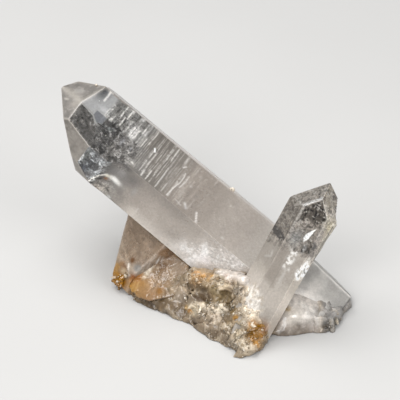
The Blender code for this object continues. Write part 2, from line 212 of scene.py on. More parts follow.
def smooth_noise(points, size, seed):
    """Value from -1 to 1: the eight lattice corners round each point, blended by a smooth step."""
    spot = np.asarray(points) / size
    low = np.floor(spot).astype(np.int64)
    part = spot - low
    part = part * part * (3.0 - 2.0 * part)
    return blended(part, lambda corner: lattice(low + corner, seed)) * 2.0 - 1.0


def layered_noise(points, size, seed, layers=4, gain=0.55):
    """Smooth noise summed over layers, each half the size and a little weaker than the last."""
    total = 0.0
    weight = 1.0
    whole = 0.0
    for layer in range(layers):
        total = total + weight * smooth_noise(points, size / 2.0 ** layer, seed + 17 * layer)
        whole += weight
        weight *= gain
    return total / whole * 1.6


def mottle(points, size, seed, layers=4):
    """Layered noise stretched so that two thirds of its values lie between -1 and 1."""
    return layered_noise(points, size, seed, layers) * 2.8


def seeds_around(points, size, seed):
    """For each of the 27 cells round each point: the cell, and the way from its seed to the point."""
    spot = np.asarray(points) / size
    low = np.floor(spot).astype(np.int64)
    for corner in np.ndindex(3, 3, 3):
        cell = low + np.array(corner) - 1
        yield cell, spot - cell - np.stack([lattice(cell, seed + k) for k in range(3)], axis=-1)


def cell_noise(points, size, seed):
    """The distances to the nearest and second nearest of the scattered seeds, in sizes."""
    nearest = next_nearest = FAR_AWAY
    for _, away in seeds_around(points, size, seed):
        far = np.linalg.norm(away, axis=-1)
        next_nearest = np.minimum(next_nearest, np.maximum(nearest, far))
        nearest = np.minimum(nearest, far)
    return nearest, next_nearest


def facets(points, size, seed):
    """Broken facets: each scattered seed owns the space nearest to it and tilts it by its own random
    slope. Gives that height, a random tone of the facet's own, and the gap to the next seed."""
    nearest = next_nearest = FAR_AWAY
    owner, offset = 0, 0.0
    for cell, away in seeds_around(points, size, seed):
        far = np.linalg.norm(away, axis=-1)
        closer = (far < nearest)[..., None]
        next_nearest = np.minimum(next_nearest, np.maximum(nearest, far))
        nearest = np.minimum(nearest, far)
        owner, offset = np.where(closer, cell, owner), np.where(closer, away, offset)
    slope = np.stack([lattice(owner, seed + 11 + k) for k in range(3)], axis=-1) * 2.0 - 1.0
    return (offset * slope).sum(axis=-1), lattice(owner, seed + 23), next_nearest - nearest


def step(value, low, high):
    """0 below low, 1 above high, and a smooth slope between them."""
    part = np.clip((value - low) / (high - low), 0.0, 1.0)
    return part * part * (3.0 - 2.0 * part)


def between(value, low, low_end, high, high_end):
    """1 between low_end and high, falling to 0 at low and at high_end."""
    return step(value, low, low_end) * (1 - step(value, high, high_end))


def bell(value, width):
    """1 where the value is 0, falling to 0.37 at the width."""
    return np.exp(-(value / width) ** 2)


def stacked(*parts):
    """Places from their three numbers, so that a noise can be read in a stretched or flat space."""
    return np.stack(np.broadcast_arrays(*parts), axis=-1)


print("noise at the origin:", smooth_noise(np.zeros((1, 3)), 1.0, 1))

# %% [markdown]
# Marks on a face are placed in the face's own millimetres: how far down from the tip, and how far
# across. A mark is a soft blot, a scratch along a few points, or a patch with corners, and each
# gives a number from 0 to 1 for every point of the mesh.

# %% Marks on a face
def blot(across, down, centre, radii, turn=0.0):
    """A bell shape round the centre (down, across), radii along and across it after the turn."""
    angle = math.radians(turn)
    x = down - centre[0]
    y = across - centre[1]
    along = x * math.cos(angle) + y * math.sin(angle)
    beside = y * math.cos(angle) - x * math.sin(angle)
    return np.exp(-((along / radii[0]) ** 2 + (beside / radii[1]) ** 2))


def scratch(across, down, path, width):
    """A bell shape of the distance to a path of (down, across) points."""
    nearest = np.full(across.shape, 1e9)
    for (d0, a0), (d1, a1) in zip(path[:-1], path[1:]):
        length = (d1 - d0) ** 2 + (a1 - a0) ** 2
        t = np.clip(((down - d0) * (d1 - d0) + (across - a0) * (a1 - a0)) / length, 0.0, 1.0)
        nearest = np.minimum(nearest, np.hypot(down - d0 - t * (d1 - d0), across - a0 - t * (a1 - a0)))
    return bell(nearest, width)


def patch(across, down, corners, softness):
    """1 inside the convex patch of (down, across) corners, falling to 0 over the softness."""
    corners = np.array(corners, float)
    middle = corners.mean(axis=0)
    inside = np.full(across.shape, 1e9)
    for here, there in zip(corners, np.roll(corners, -1, axis=0)):
        edge = there - here
        out = np.array([edge[1], -edge[0]]) / np.hypot(*edge)
        out = out * np.sign(out @ (here - middle))
        inside = np.minimum(inside, -((down - here[0]) * out[0] + (across - here[1]) * out[1]))
    return step(inside, -softness, softness)


def tint(colour, mask, hex_colour):
    """Blend the colour of every point towards a new one, as much as the mask says."""
    mask = np.clip(mask, 0.0, 1.0)[..., None]
    return colour * (1.0 - mask) + linear(hex_colour) * mask


def tints(colour, *layers):
    """One tint after another, each given as its mask and its colour."""
    for mask, hex_colour in layers:
        colour = tint(colour, mask, hex_colour)
    return colour


def marks(colour, across, down, blots, scratches=()):
    """Blots: down, across, two radii, turn, colour, strength. Then scratches: down and across of each
    point of the path, width, colour, strength."""
    for *centre, along, beside, turn, hex_colour, strength in blots:
        colour = tint(colour, blot(across, down, centre, (along, beside), turn) * strength, hex_colour)
    for *path, width, hex_colour, strength in scratches:
        path = np.reshape(path, (-1, 2))
        colour = tint(colour, scratch(across, down, path, width) * strength, hex_colour)
    return colour


print("a blot at its centre:", float(blot(np.zeros(1), np.zeros(1), (0, 0), (1, 1))[0]))

# %% [markdown]
# Some marks run across several faces and bodies, such as rust and snow-white grains. Their places are
# in the frame of the specimen, in millimetres: a round spot or a seam along a few points.

# %% Marks in the frame of the specimen
def near(points, centre, radius):
    """A bell shape round a place in the specimen, 1 at its centre."""
    offset = (points - np.array(centre)) / np.array(radius)
    return np.exp(-(offset ** 2).sum(axis=-1))


def seam(points, path, width):
    """A bell shape of the distance to a path of places."""
    nearest = np.full(points.shape[:-1], 1e9)
    for start, end in zip(path[:-1], path[1:]):
        along = end - start
        t = np.clip((points - start) @ along / (along @ along), 0.0, 1.0)
        nearest = np.minimum(nearest, np.linalg.norm(points - start - t[..., None] * along, axis=-1))
    return bell(nearest, width)


def stain(colour, points, spots, lift=1.0, limit=1.0):
    """Spots: place, radius, colour, strength. Each bell is lifted and cut off at the limit, so that it
    has a flat middle and a steeper rim."""
    for *centre, radius, hex_colour, strength in spots:
        mask = np.minimum(near(points, centre, radius) * lift, limit)
        colour = tint(colour, mask * strength, hex_colour)
    return colour


def streak(colour, points, seams):
    """Seams: the places of the path, width, colour, strength."""
    for *path, width, hex_colour, strength in seams:
        mask = seam(points, np.reshape(path, (-1, 3)), width)
        colour = tint(colour, mask * strength, hex_colour)
    return colour


print("half way out of a spot:", near(np.zeros((1, 3)), (0.5, 0.0, 0.0), 1.0).round(2))

# %% [markdown]
# A quartz crystal is flat faces only: six sides that turn by 60 degrees round the long axis, and
# the faces of its point. It could be cut from a block, as the solid is. Here it is a grid instead,
# because a fine grid can also carry striations, chips and the colours of what lies inside: rows
# go down the axis, columns go round it, and each point lies where a ray from the axis first
# meets a face. The first meeting is a soft minimum, which rounds the edges by a tenth of a millimetre.

# %% The faces of a crystal
def axis_frame(heading, rise):
    """The axis, the level direction across it and its uphill side, as unit vectors."""
    turn, lift = math.radians(heading), math.radians(rise)
    axis = np.array([math.cos(lift) * math.cos(turn), math.cos(lift) * math.sin(turn), math.sin(lift)])
    level = np.cross([0.0, 0.0, 1.0], axis)
    level = level / np.linalg.norm(level)
    return axis, level, np.cross(axis, level)


def face_normal(frame_axes, turn, lean):
    """The outward normal of a face from its turn round the axis and its lean, in degrees."""
    axis, level, uphill = frame_axes
    turn, lean = math.radians(turn), math.radians(lean)
    return math.cos(lean) * (math.sin(turn) * level + math.cos(turn) * uphill) + math.sin(lean) * axis


def planes_of(frame_axes, faces, height=None):
    """Normals and distances of the faces, seen from the point on the axis, and the table under it."""
    normals = [face_normal(frame_axes, turn, lean) for turn, lean, _ in faces]
    distances = [distance for _, _, distance in faces]
    if height is not None:
        normals.append(np.array([0.0, 0.0, -1.0]))
        distances.append(height)
    return np.array(normals), np.array(distances)


def above_table(centres, frame_axes, height, clearance=0.4):
    """Centres that would lie under the table are moved uphill, across the axis, until they don't."""
    short = np.maximum(clearance - height - centres[:, 2], 0.0)
    return centres + frame_axes[2] * (short / frame_axes[2][2])[:, None]


def all_triples(count):
    """Every choice of three among so many."""
    return np.array([(a, b, c) for a in range(count) for b in range(a) for c in range(b)])


def first_corner(normals, distances, axis):
    """The corner farthest up the axis: every three planes meet in a point, the inside ones stay."""
    triples = all_triples(len(normals))
    systems = normals[triples]
    sound = np.abs(np.linalg.det(systems)) > 1e-6
    corners = np.linalg.solve(systems[sound], distances[triples[sound]][..., None])[..., 0]
    inside = (corners @ normals.T <= distances + 1e-6).all(axis=1)
    corners = corners[inside]
    return corners[np.argmax(corners @ axis)]


def ray_grids(frame_axes, tip, down_rows, columns, bend, inner=0.0, height=None):
    """Start and direction of the ray to each point of a grid. The rays start on the axis, or beside it
    by the inner offset, but over the length of the bend their line runs to the tip. With a height, no
    start lies under the table."""
    axis, level, uphill = frame_axes
    tip_down = -float(tip @ axis)
    settled = np.clip((down_rows - tip_down) / bend, 0.0, 1.0)[:, None]
    centres = -axis * down_rows[:, None] + (tip + axis * tip_down) * (1.0 - settled) + inner * settled
    if height is not None:
        centres = above_table(centres, frame_axes, height)
    rays = np.sin(columns)[:, None] * level + np.cos(columns)[:, None] * uphill
    return np.broadcast_arrays(centres[:, None, :], rays[None, :, :])


EDGE_SOFTNESS = 0.07


def first_meeting(centres, rays, normals, distances):
    """How far each ray runs to each face, and the soft minimum of them."""
    toward = rays @ normals.T
    gap = distances - centres @ normals.T
    far = np.where(toward > 1e-4, gap / np.maximum(toward, 1e-4), 1e4)
    nearest = far.min(axis=-1, keepdims=True)
    total = np.exp(-(far - nearest) / EDGE_SOFTNESS).sum(axis=-1)
    return nearest[..., 0] - EDGE_SOFTNESS * np.log(total), far


def along_edges(far, width):
    """A bell shape round the edges, where the nearest and the next nearest face are equally far."""
    nearest = np.partition(far, 1, axis=-1)
    return bell(nearest[..., 1] - nearest[..., 0], width)


MAIN_POINT = np.array((-52.45, 45.39, 54.99))
MAIN_AXES = axis_frame(154.3, 31.8)
print("main axis:", MAIN_AXES[0].round(3))

# %% [markdown]
# Every piece here is a closed grid: a pole at its first row, a pole at its last, and the columns
# joined into rings between them.

# %% From a grid to a closed mesh
def closed_grid_faces(rows, columns, first=0):
    """Quads between the rings and triangles to the poles, for points: pole, rings, pole."""
    ring = first + 1 + np.arange(rows)[:, None] * columns + np.arange(columns)[None, :]
    following = np.roll(ring, -1, axis=1)
    quads = np.stack([ring[:-1], ring[1:], following[1:], following[:-1]], axis=-1).reshape(-1, 4)
    top = np.stack([np.full(columns, first), ring[0], following[0]], axis=-1)
    end = first + 1 + rows * columns
    bottom = np.stack([np.full(columns, end), following[-1], ring[-1]], axis=-1)
    return quads, np.concatenate([top, bottom])


def points_outwards(points, quads, triangles):
    """True where the signed volume under the faces is positive."""
    corners = np.concatenate([quads[:, [0, 1, 2]], quads[:, [0, 2, 3]], triangles])
    a, b, c = (points[corners[:, k]] for k in range(3))
    return np.einsum("ij,ij->i", a, np.cross(b, c)).sum() > 0


def mesh_piece(name, points, quads, triangles, material, fields):
    """Put points in mm, faces and one value per point for each field into a mesh piece."""
    if not points_outwards(points - points.mean(axis=0), quads, triangles):
        quads = quads[:, ::-1]
        triangles = triangles[:, ::-1]
    # Nothing reaches beyond the solid's own box.
    points = np.clip(points, np.array(cad_box[0]) / METRES + 0.01, np.array(cad_box[1]) / METRES - 0.01)
    mesh = bpy.data.meshes.new(name)
    mesh.vertices.add(len(points))
    mesh.vertices.foreach_set("co", (points * METRES).astype(np.float32).ravel())
    loops = np.concatenate([quads.ravel(), triangles.ravel()])
    starts = np.concatenate([np.arange(len(quads)) * 4, len(quads) * 4 + np.arange(len(triangles)) * 3])
    mesh.loops.add(len(loops))
    mesh.loops.foreach_set("vertex_index", loops.astype(np.int32))
    mesh.polygons.add(len(starts))
    mesh.polygons.foreach_set("loop_start", starts.astype(np.int32))
    mesh.update(calc_edges=True)
    mesh.validate()
    mesh.shade_smooth()
    for field, values in fields.items():
        kind, entry = ("FLOAT_COLOR", "color") if values.ndim == 2 else ("FLOAT", "value")
        if values.ndim == 2:
            values = np.concatenate([values, np.ones((len(values), 1))], axis=1)
        layer = mesh.attributes.new(field, kind, "POINT")
        layer.data.foreach_set(entry, values.astype(np.float32).ravel())
    mesh.materials.append(material)
    piece = bpy.data.objects.new(name, mesh)
    bpy.context.scene.collection.objects.link(piece)
    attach(piece, "root")
    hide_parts(CLUSTER)
    print(name, "has", len(points), "points and", len(quads) * 2 + len(triangles), "triangles")
    return piece


def spread_columns(faces, counts):
    """Angles round the axis: along each side, evenly spaced across it from edge to edge."""
    angles = []
    total = len(faces)
    for k, (turn, distance) in enumerate(faces):
        edges = []
        for other in ((k - 1) % total, (k + 1) % total):
            apart = math.radians(turn - faces[other][0])
            edges.append((faces[other][1] - distance * math.cos(apart)) / math.sin(apart))
        across = np.linspace(edges[0], edges[1], counts[k], endpoint=False)
        angles.append(math.radians(turn) - np.arctan2(across, distance))
    return np.concatenate(angles)


print("a grid of 3 rings of 6 points has", len(closed_grid_faces(3, 6)[0]), "quads")

# %% [markdown]
# The long crystal: its sides stay those of the solid. The smooth side carries a raised cap near the
# tip, whose sloping riser faces the root, so there a ray runs on to the farther of the low face
# and the riser.

# %% The long crystal's shape
STRIATED = (20.6, 0.0, 15.5)
SMOOTH_TURN = 80.6
CAP_LEVEL = 19.6
LEDGE_LEVEL = 16.1
CAP_END = 19.1
CAP_RISER_LEAN = -32.0
# Each face: its turn round the axis, its lean and its distance from the point on the axis.
MAIN_FACES = [
    STRIATED, (140.6, 0.0, 15.1), (-159.4, 0.0, 16.4), (-99.4, 0.0, 16.6), (-38.4, 0.5, 16.6),
    (-38.4, -3.3, 22.5), (9.0, 36.3, 13.8), (25.1, 40.2, 13.8), (SMOOTH_TURN, 12.0, 17.0),
    (113.6, 14.0, 14.6), (140.6, 39.5, 4.4), (-159.4, 40.0, 2.9), (-107.4, 45.0, 7.9), (-39.4, 29.4, 14.6),
    (SMOOTH_TURN, 0.0, CAP_LEVEL),
]
FIRST_POINT_FACE, CAP_FACE = 6, 14
MAIN_ROOT = 122.8

normals, distances = planes_of(MAIN_AXES, MAIN_FACES, MAIN_POINT[2])
tip = first_corner(normals, distances, MAIN_AXES[0])
tip_down = -float(tip @ MAIN_AXES[0])
down_rows = np.concatenate([
    tip_down + np.linspace(0.15, 9.85, 36, endpoint=False),
    tip_down + 9.85 + np.arange(0.0, 50.0, 0.25),
    np.linspace(tip_down + 59.85, 96.0, 90, endpoint=False),
    np.linspace(96.0, MAIN_ROOT - 0.3, 40),
])
columns = spread_columns(
    [(20.6, 15.5), (-38.4, 16.6), (-99.4, 16.6), (-159.4, 16.4), (140.6, 15.1), (80.6, 16.1)],
    [92, 16, 16, 16, 30, 92])
MAIN_BEND_END = 16.0
centre_grid, ray_grid = ray_grids(MAIN_AXES, tip, down_rows, columns, MAIN_BEND_END - tip_down,
                                  height=MAIN_POINT[2])
main_root = centre_grid[-1, 0]
reach_main, face_reach = first_meeting(centre_grid, ray_grid, normals, distances)

ledge_normals = np.array([face_normal(MAIN_AXES, SMOOTH_TURN, lean) for lean in (0.0, CAP_RISER_LEAN)])
riser_place = ledge_normals[0] * CAP_LEVEL - MAIN_AXES[0] * CAP_END
riser_distance = float(riser_place @ ledge_normals[1])
_, ledge_reach = first_meeting(centre_grid, ray_grid, ledge_normals, np.array([LEDGE_LEVEL, riser_distance]))
riser = np.where(riser_distance - centre_grid @ ledge_normals[1] < 0.0, 0.0, ledge_reach[..., 1])
beyond = np.maximum(ledge_reach[..., 0], riser)
reach_main = np.minimum(reach_main, beyond)
main_grid = centre_grid + ray_grid * reach_main[..., None]
print("long crystal grid:", main_grid.shape, "tip", tip.round(2))

# %% [markdown]
# The striated side has fine ridges across it, where growth paused. On the mesh they are low steps
# of a few hundredths of a millimetre to two tenths, strongest from 7 to 45 mm below the tip, and
# the light catches their edges.

# %% Where each point lies on the long crystal's faces
def face_place(grid, frame_axes, turn):
    """Millimetres across the face with that turn, for points seen from the tip of the axis."""
    return grid @ np.cross(frame_axes[0], face_normal(frame_axes, turn, 0.0))


down = -(main_grid @ MAIN_AXES[0])
across_striated = face_place(main_grid, MAIN_AXES, STRIATED[0])
across_smooth = face_place(main_grid, MAIN_AXES, SMOOTH_TURN)
on_face = face_reach.argmin(axis=-1)
on_striated = on_face == 0
on_point = (on_face >= FIRST_POINT_FACE) & (on_face < CAP_FACE)
on_smooth = (np.abs(reach_main - beyond) < 1e-6) | (on_face == CAP_FACE)
random = np.random.default_rng(11)

# Each pause in growth: how far down, from and to across the side, width, strength.
pauses = []
for _ in range(160):
    place = 6.5 + 46.0 * random.random() ** 1.25
    length = random.uniform(1.5, 9.0)
    middle = random.uniform(-8.5 + length / 3, 10.0 - length / 3)
    pauses.append((place, middle - length / 2, middle + length / 2,
                   random.uniform(0.12, 0.17), random.uniform(0.1, 0.5)))
# Long, faint ones cross much of the side, less than a millimetre apart.
for place in np.arange(22.0, 50.0, 0.8):
    start = random.uniform(-9.0, -4.0)
    pauses.append((place + random.uniform(-0.15, 0.15), start, start + random.uniform(8.0, 18.0),
                   0.13, random.uniform(0.25, 0.7)))
# Each pause: how far down it lies, where it starts and ends across, its width and its strength.
NAMED_PAUSES = [
    (2.9, 5, 10.2, 0.33, 2), (14.1, 5.5, 10.3, 0.3, 1.8), (13.4, 1.5, 5.5, 0.28, 1.3),
    (24.2, 5.5, 10.5, 0.32, -2), (24.9, -1, 4.4, 0.2, 1.2), (30, -8, 3.4, 0.15, 0.9),
    (31.4, -8.8, 2.6, 0.16, 1), (32, -9, -6, 0.24, 1.2), (34, -9, -4.6, 0.2, 1.5),
    (35.2, 3, 10.2, 0.22, 0.8), (36.9, 4, 9.8, 0.24, 1.3), (38.4, -9, 0.8, 0.18, 1.3),
    (41.4, -8.6, -4.4, 0.22, 1.1), (41.8, 6, 10.3, 0.42, 1.5), (44.4, -8.5, 0.4, 0.3, 1.5),
    (46.2, -3, 3.6, 0.24, 0.9), (55.5, 8, 10.4, 0.24, 0.7), (56, -4.6, 5, 0.2, 0.5),
    (57.4, -4, 3, 0.2, 0.4), (53.2, -7, -2, 0.24, 0.6), (21.2, 6.5, 10.5, 0.34, -1.4),
    (11.6, 4.5, 10, 0.22, 0.9), (20.9, 1, 5.5, 0.24, 1.1), (18.9, 0.4, 5, 0.26, 1.2),
    (26.6, 3, 10.4, 0.26, 0.8), (28.6, 4, 10, 0.22, -0.8), (22.2, 4.6, 7.4, 0.26, 1.4),
    (16.2, -5.4, -0.6, 0.24, 1),
]
pause_lines = np.zeros(down.shape)
wander = 0.35 * smooth_noise(stacked(across_striated * 0.6, down * 0.25, 0.0), 1.6, 5)
for place, low, high, width, strength in pauses + NAMED_PAUSES:
    slant = 0.05 * (across_striated - (low + high) / 2)
    line = bell(down + wander * min(1.0, width * 2) - place + slant, width)
    ends = between(across_striated, low - 0.6, low + 0.4, high - 0.4, high + 0.6)
    pause_lines += strength * line * ends
# Where the healed fractures lie the ridges can hardly be seen.
veiled = between(down, 5.0, 7.0, 24.0, 29.0) * (1 - step(across_striated, -0.4, 0.4))
pause_lines = pause_lines * (1 - 0.8 * veiled)
relief = np.where(on_striated, 0.03 * pause_lines, 0.0)
main_grid = main_grid + ray_grid * relief[..., None]
print("growth pauses:", len(pauses) + len(NAMED_PAUSES))

# %% [markdown]
# What the eye sees in the long crystal: a clear tip with a dark window where the light runs out
# through the back, painted here as a reflection, black-and-white healed fractures just below it, and a
# body that turns milky towards the root, because tiny fluid bubbles scatter the light there. Every patch
# below has its place in millimetres down from the tip and across the face.

# %% Colours inside the long crystal
u, v = across_striated, down
spots = main_grid
face_spots = stacked(v, u, 0.0)
broad = mottle(spots, 9.0, 3)
middle_noise = mottle(spots, 3.2, 21)
fine = mottle(spots, 1.1, 35, layers=3)
milky = linear("#aaa198")
colour = milky * (1.0 + 0.030 * broad + 0.020 * middle_noise + 0.020 * fine)[..., None]

# The striated side, from the tip down: smoke-grey, then broken and white, then evenly milky.
side = tints(colour,
    (1 - step(v, 56.0, 70.0), "#91887f"),
    (1 - step(v, 38.0, 50.0), "#7d7770"),
    (1 - step(v, 22.0, 28.0), "#a5a39f"),
    (1 - step(v, 6.0, 8.0), "#c0c0bf"),
    (blot(u, v, (0.4, 8.4), (2.3, 3.2)) * 0.95, "#5d5f62"),
    (blot(u, v, (5.6, 2.2), (2.4, 1.0)) * 0.4, "#dadad9"),
    (step(v, 74.0, 84.0), "#b3aca4"))
streaks = mottle(stacked(v, u * 0.10, 0.0), 1.1, 61, layers=3)
fine_streaks = mottle(stacked(v, u * 0.06, 0.0), 0.6, 63, layers=2)
streak_zone = (step(v, 6.5, 8.5) * (1 - 0.72 * step(v, 22.0, 34.0)) * (1 - 0.6 * step(v, 44.0, 58.0))
               * (1 - 0.7 * step(v, 58.0, 70.0)))
side = side * (1 + (0.13 * streaks + 0.07 * fine_streaks) * streak_zone * (1 - 0.5 * veiled))[..., None]
broken = mottle(stacked(v, u * 0.45, 0.0), 1.2, 77, layers=3)
broken_zone = between(v, 6.0, 8.0, 18.0, 27.0) * step(u, -0.5, 0.6)
side = side * (1 + 0.20 * broken * broken_zone)[..., None]
# Each white band: the down and across of its corners, then its strength.
WHITE_BANDS = [
    (17.6, 10.5, 20.6, 10.5, 21.6, 0.2, 19.4, 0, 16.6, 3.6, 0.85),
    (21.9, 10.5, 23.7, 10.5, 23.9, 4.6, 22.6, 4.6, 0.8),
    (17.2, 6.2, 20.2, 6, 22.2, 2, 20.4, 0.4, 18, 1.4, 0.2),
]
for *corners, strength in WHITE_BANDS:
    band = patch(u, v, np.reshape(corners, (-1, 2)), 1.0)
    side = tint(side, band * np.clip(0.6 * strength + 0.25 * streaks + 0.25 * broken, 0, 0.85), "#cccac7")
side = tints(side,
    (patch(u, v, ((14.8, 10.5), (17.3, 10.5), (17.2, 6.4), (15.0, 6.0)), 0.35) * 0.6, "#7a7876"),
    (patch(u, v, ((7.8, 10.4), (9.8, 10.4), (9.4, 6.6), (7.6, 7.4)), 0.6)
     * np.clip(0.5 + 0.3 * broken, 0, 1), "#6d6b68"),
    (patch(u, v, ((24.8, 0.0), (30, 2), (33, -9), (27, -9), (25, -4)), 1.2) * 0.6, "#8a8783"))

# Dark, mottled healed fractures: black gaps and bright flecks side by side.
veil_zone = between(v, 7.6, 9.0, 24.5, 28.0) * (1 - step(u + 0.25 * streaks, -0.2, 0.6))
corner_zone = patch(u, v, ((6.5, -5.0), (12, -3.6), (18, -9.3), (18, -15), (10.6, -13.4)), 0.5)
veil_zone = np.maximum(veil_zone, corner_zone)
side = tint(side, veil_zone * (1 - 0.45 * step(v, 17.0, 25.0)), "#7d7b79")
ringlets = 1 - step(np.abs(mottle(face_spots, 1.9, 97, layers=3)), 0.10, 0.34)
depth = veil_zone * (1 - 0.35 * step(v, 19.0, 26.0))
side = side * (1 + 0.16 * mottle(face_spots, 2.8, 99) * veil_zone)[..., None]
side = tints(side,
    (depth * ringlets * 0.45, "#b3b1ad"),
    (depth * step(mottle(face_spots, 1.5, 95, layers=3), 0.75, 1.5) * 0.85, "#c6c3bf"),
    (depth * step(mottle(face_spots, 1.7, 93, layers=3), 0.55, 1.15) * 0.9, "#3b3a38"))
side = marks(side, u, v, [
    (9.9, -1.1, 1.2, 1.2, 0, "#5b5856", 0.95), (12.5, -2.2, 1.4, 0.6, 10, "#8b8f8f", 0.7),
    (12.2, -5.6, 0.9, 1, 0, "#34332f", 1), (12.3, -5.7, 0.25, 0.3, 0, "#d5d3ca", 1),
    (11.8, -2.8, 0.9, 0.8, 0, "#979c9b", 0.8), (13.2, -8.6, 1.5, 1.3, 20, "#484643", 0.8),
    (18.6, -6.4, 0.9, 1.2, 0, "#3b3a38", 1), (18.4, -3.2, 0.8, 1.6, 0, "#a6a6aa", 0.95),
    (22.4, -3.2, 0.6, 1.1, 30, "#aaaaac", 0.9), (21.6, -2, 0.9, 0.8, 0, "#5f5d5b", 0.8),
    (16.7, -8.2, 0.5, 2.4, 0, "#aeaba5", 0.95), (14.8, -6.2, 0.8, 2.2, 10, "#55524f", 0.7),
    (17.5, -0.9, 0.6, 0.4, 0, "#504f4d", 0.8), (14.6, -1.6, 0.7, 0.5, 0, "#3e3c3b", 0.9),
    (15.2, -4, 0.6, 0.5, 30, "#42403f", 0.9), (9.8, -10.4, 2.2, 2, 0, "#7d7a77", 0.6),
    (23, -5.4, 0.35, 1.4, -28, "#cfcdc8", 0.9), (26.6, -7.3, 1.4, 0.7, -12, "#d6d3cc", 1),
    (25.2, -8.3, 1.6, 0.4, 0, "#c2bfb8", 0.8), (24.2, -7, 1.2, 0.5, 12, "#b6b3ae", 0.8),
    (20.4, -4.6, 0.5, 1, 0, "#9b9996", 0.7), (29.5, -7.4, 1.8, 1.6, 0, "#84807c", 0.8),
    (24.5, -4.4, 0.5, 1.2, -20, "#6a6866", 0.8), (19.6, -8.2, 1.4, 0.35, 0, "#9d9b97", 0.7),
    (18.2, -8.9, 1.2, 0.3, 0, "#565350", 0.7),
], [
    (7.2, -3.9, 9.2, -3.6, 11.6, -3.3, 0.26, "#373534", 0.95),
    (8.2, -3.2, 10.4, -2.9, 12.4, -2.6, 0.24, "#8f9392", 0.8),
    (15.6, -0.6, 15.9, -2, 16.5, -3.4, 0.22, "#bcbab7", 0.9),
    (14.6, -8, 16, -9.6, 17.2, -10.6, 0.22, "#a5a29d", 0.7),
    (11, -12.8, 14.2, -13.4, 18, -13, 0.4, "#4c4a48", 0.7),
])
# Painted reflections: the lighter bluish quadrangle, and the dark window, whose back is a face that sends the
# light away, with a pale line along its border.
painted_window = patch(u, v, ((-2.6, -2.0), (3.4, -2.8), (6.6, -5.2), (9.0, -7.4), (10.8, -13.4), (-2.6, -11.2)), 0.2)
side = tints(side,
    (patch(u, v, ((3.6, 0.1), (8.2, 0.1), (8.4, -2.8), (6.4, -4.0), (3.6, -2.2)), 0.2) * 0.95, "#97999e"),
    (painted_window * (1 - 0.35 * step(v, 7.0, 10.5)), "#9a9793"))
side = side * (1 + painted_window * (0.24 * mottle(face_spots, 0.8, 101, layers=2) + 0.12 * middle_noise))[..., None]
side = tints(side,
    (painted_window * step(v - 0.4 * u, 6.0, 14.0) * 0.55, "#a5a19d"),
    (scratch(u, v, ((-2.3, -1.6), (3.5, -2.3), (6.8, -4.9)), 0.28) * 0.7, "#b9b6af"))
# Growth lines painted bright, a painted highlight where the light catches their steps, the sunken ones
# darker, then the double line along the right edge.
broken_lines = np.clip(pause_lines, 0, 1.3) * np.clip(0.9 + 0.5 * fine, 0, 1)
side = tints(side,
    (broken_lines * (0.62 - 0.3 * step(v, 34.0, 44.0)), "#d6d2cc"),
    (np.clip(-pause_lines, 0, 1.3) * 0.6, "#66625f"),
    (bell(u - 11.0, 0.17) * step(v, 6, 12) * 0.75, "#615e5a"))
side = marks(side, u, v, [
    (65.4, 5.4, 0.35, 0.35, 0, "#d9d2ca", 0.7), (70.5, -7.2, 0.45, 0.45, 0, "#dad4ce", 0.7),
    (74.4, 10.6, 0.4, 0.4, 0, "#eae5de", 0.8), (66.2, 10.6, 0.4, 0.4, 0, "#dad5cf", 0.7),
    (53.2, -0.7, 0.8, 0.8, 0, "#8d867f", 0.75), (49, 1, 0.6, 0.6, 0, "#bdb7b1", 0.7),
    (65.6, 7.3, 0.8, 0.8, 0, "#948b82", 0.7), (49.6, 6.6, 0.5, 0.5, 0, "#bcb6af", 0.6),
], [
    (57, -6, 57.8, -7.2, 59.2, -9.6, 0.34, "#e0dbd6", 0.9), (51.4, -6.2, 52.8, -7.4, 0.5, "#d3d0cc", 0.7),
    (44.1, -8.3, 44.4, -4, 45, -1, 44.9, 1.6, 44.4, 3.6, 0.26, "#d3cec8", 0.8),
    (48, -7.4, 50.6, -7.9, 0.3, "#c5c0bb", 0.6), (45.9, -2.6, 46.5, 0.6, 46.2, 3.6, 0.24, "#cac5bf", 0.7),
    (29.4, 3.4, 30.3, 2.3, 0.26, "#ffffff", 1), (42.2, 5, 43, 6, 0.3, "#d7d2cd", 0.7),
    (64.4, -0.6, 67, -4, 0.14, "#c2bab0", 0.5), (62, -1, 64.6, -4.6, 0.14, "#c1b9af", 0.5),
    (66.6, -0.2, 68.8, -3, 0.14, "#c0b8ae", 0.4),
])
STRIATED_LIGHT = 0.76
colour = np.where(on_striated[..., None], side * STRIATED_LIGHT, colour)
print("striated side coloured:", int(on_striated.sum()), "points")

# %% [markdown]
# The smooth side has no growth lines: its milky quartz shades slowly from grey to pale, and near
# the point a raised cap, a later layer of growth, ends in a low riser full of small fractures. A
# white belt of fluid bubbles slants across the root. Soft bands give the shading and noise in
# several sizes breaks up the belt, while each fracture is a small mark at its own place.

# %% Colours on the smooth side and the cap
u = across_smooth
face_spots = stacked(v, u, 40.0)
smooth = milky * (1.0 + 0.030 * broad + 0.020 * middle_noise)[..., None]
smooth = tints(smooth,
    ((1 - step(v, 25.0, 36.0)) * 0.9, "#827e7a"),
    (step(u, 1.0, 9.0) * between(v, 24.0, 30.0, 52.0, 66.0) * 0.75, "#827b74"),
    (step(-u, 2.0, 8.0) * between(v, 28.0, 40.0, 60.0, 70.0) * 0.8, "#c5bdb4"),
    (patch(u, v, ((15, 12), (30, 10), (27, 6.6), (15, 7.0)), 1.6) * 0.9, "#605d5b"))
smooth = smooth * (1 + 0.11 * middle_noise * (1 - step(v, 26.0, 38.0)))[..., None]
smooth = tint(smooth, 1 - step(v + 0.2 * middle_noise, 18.6, 20.6), "#a4a7a9")
cap_zone = 1 - step(v, 19.0, 22.0)
smooth = smooth * (1 + 0.24 * mottle(face_spots, 1.7, 123) * cap_zone)[..., None]
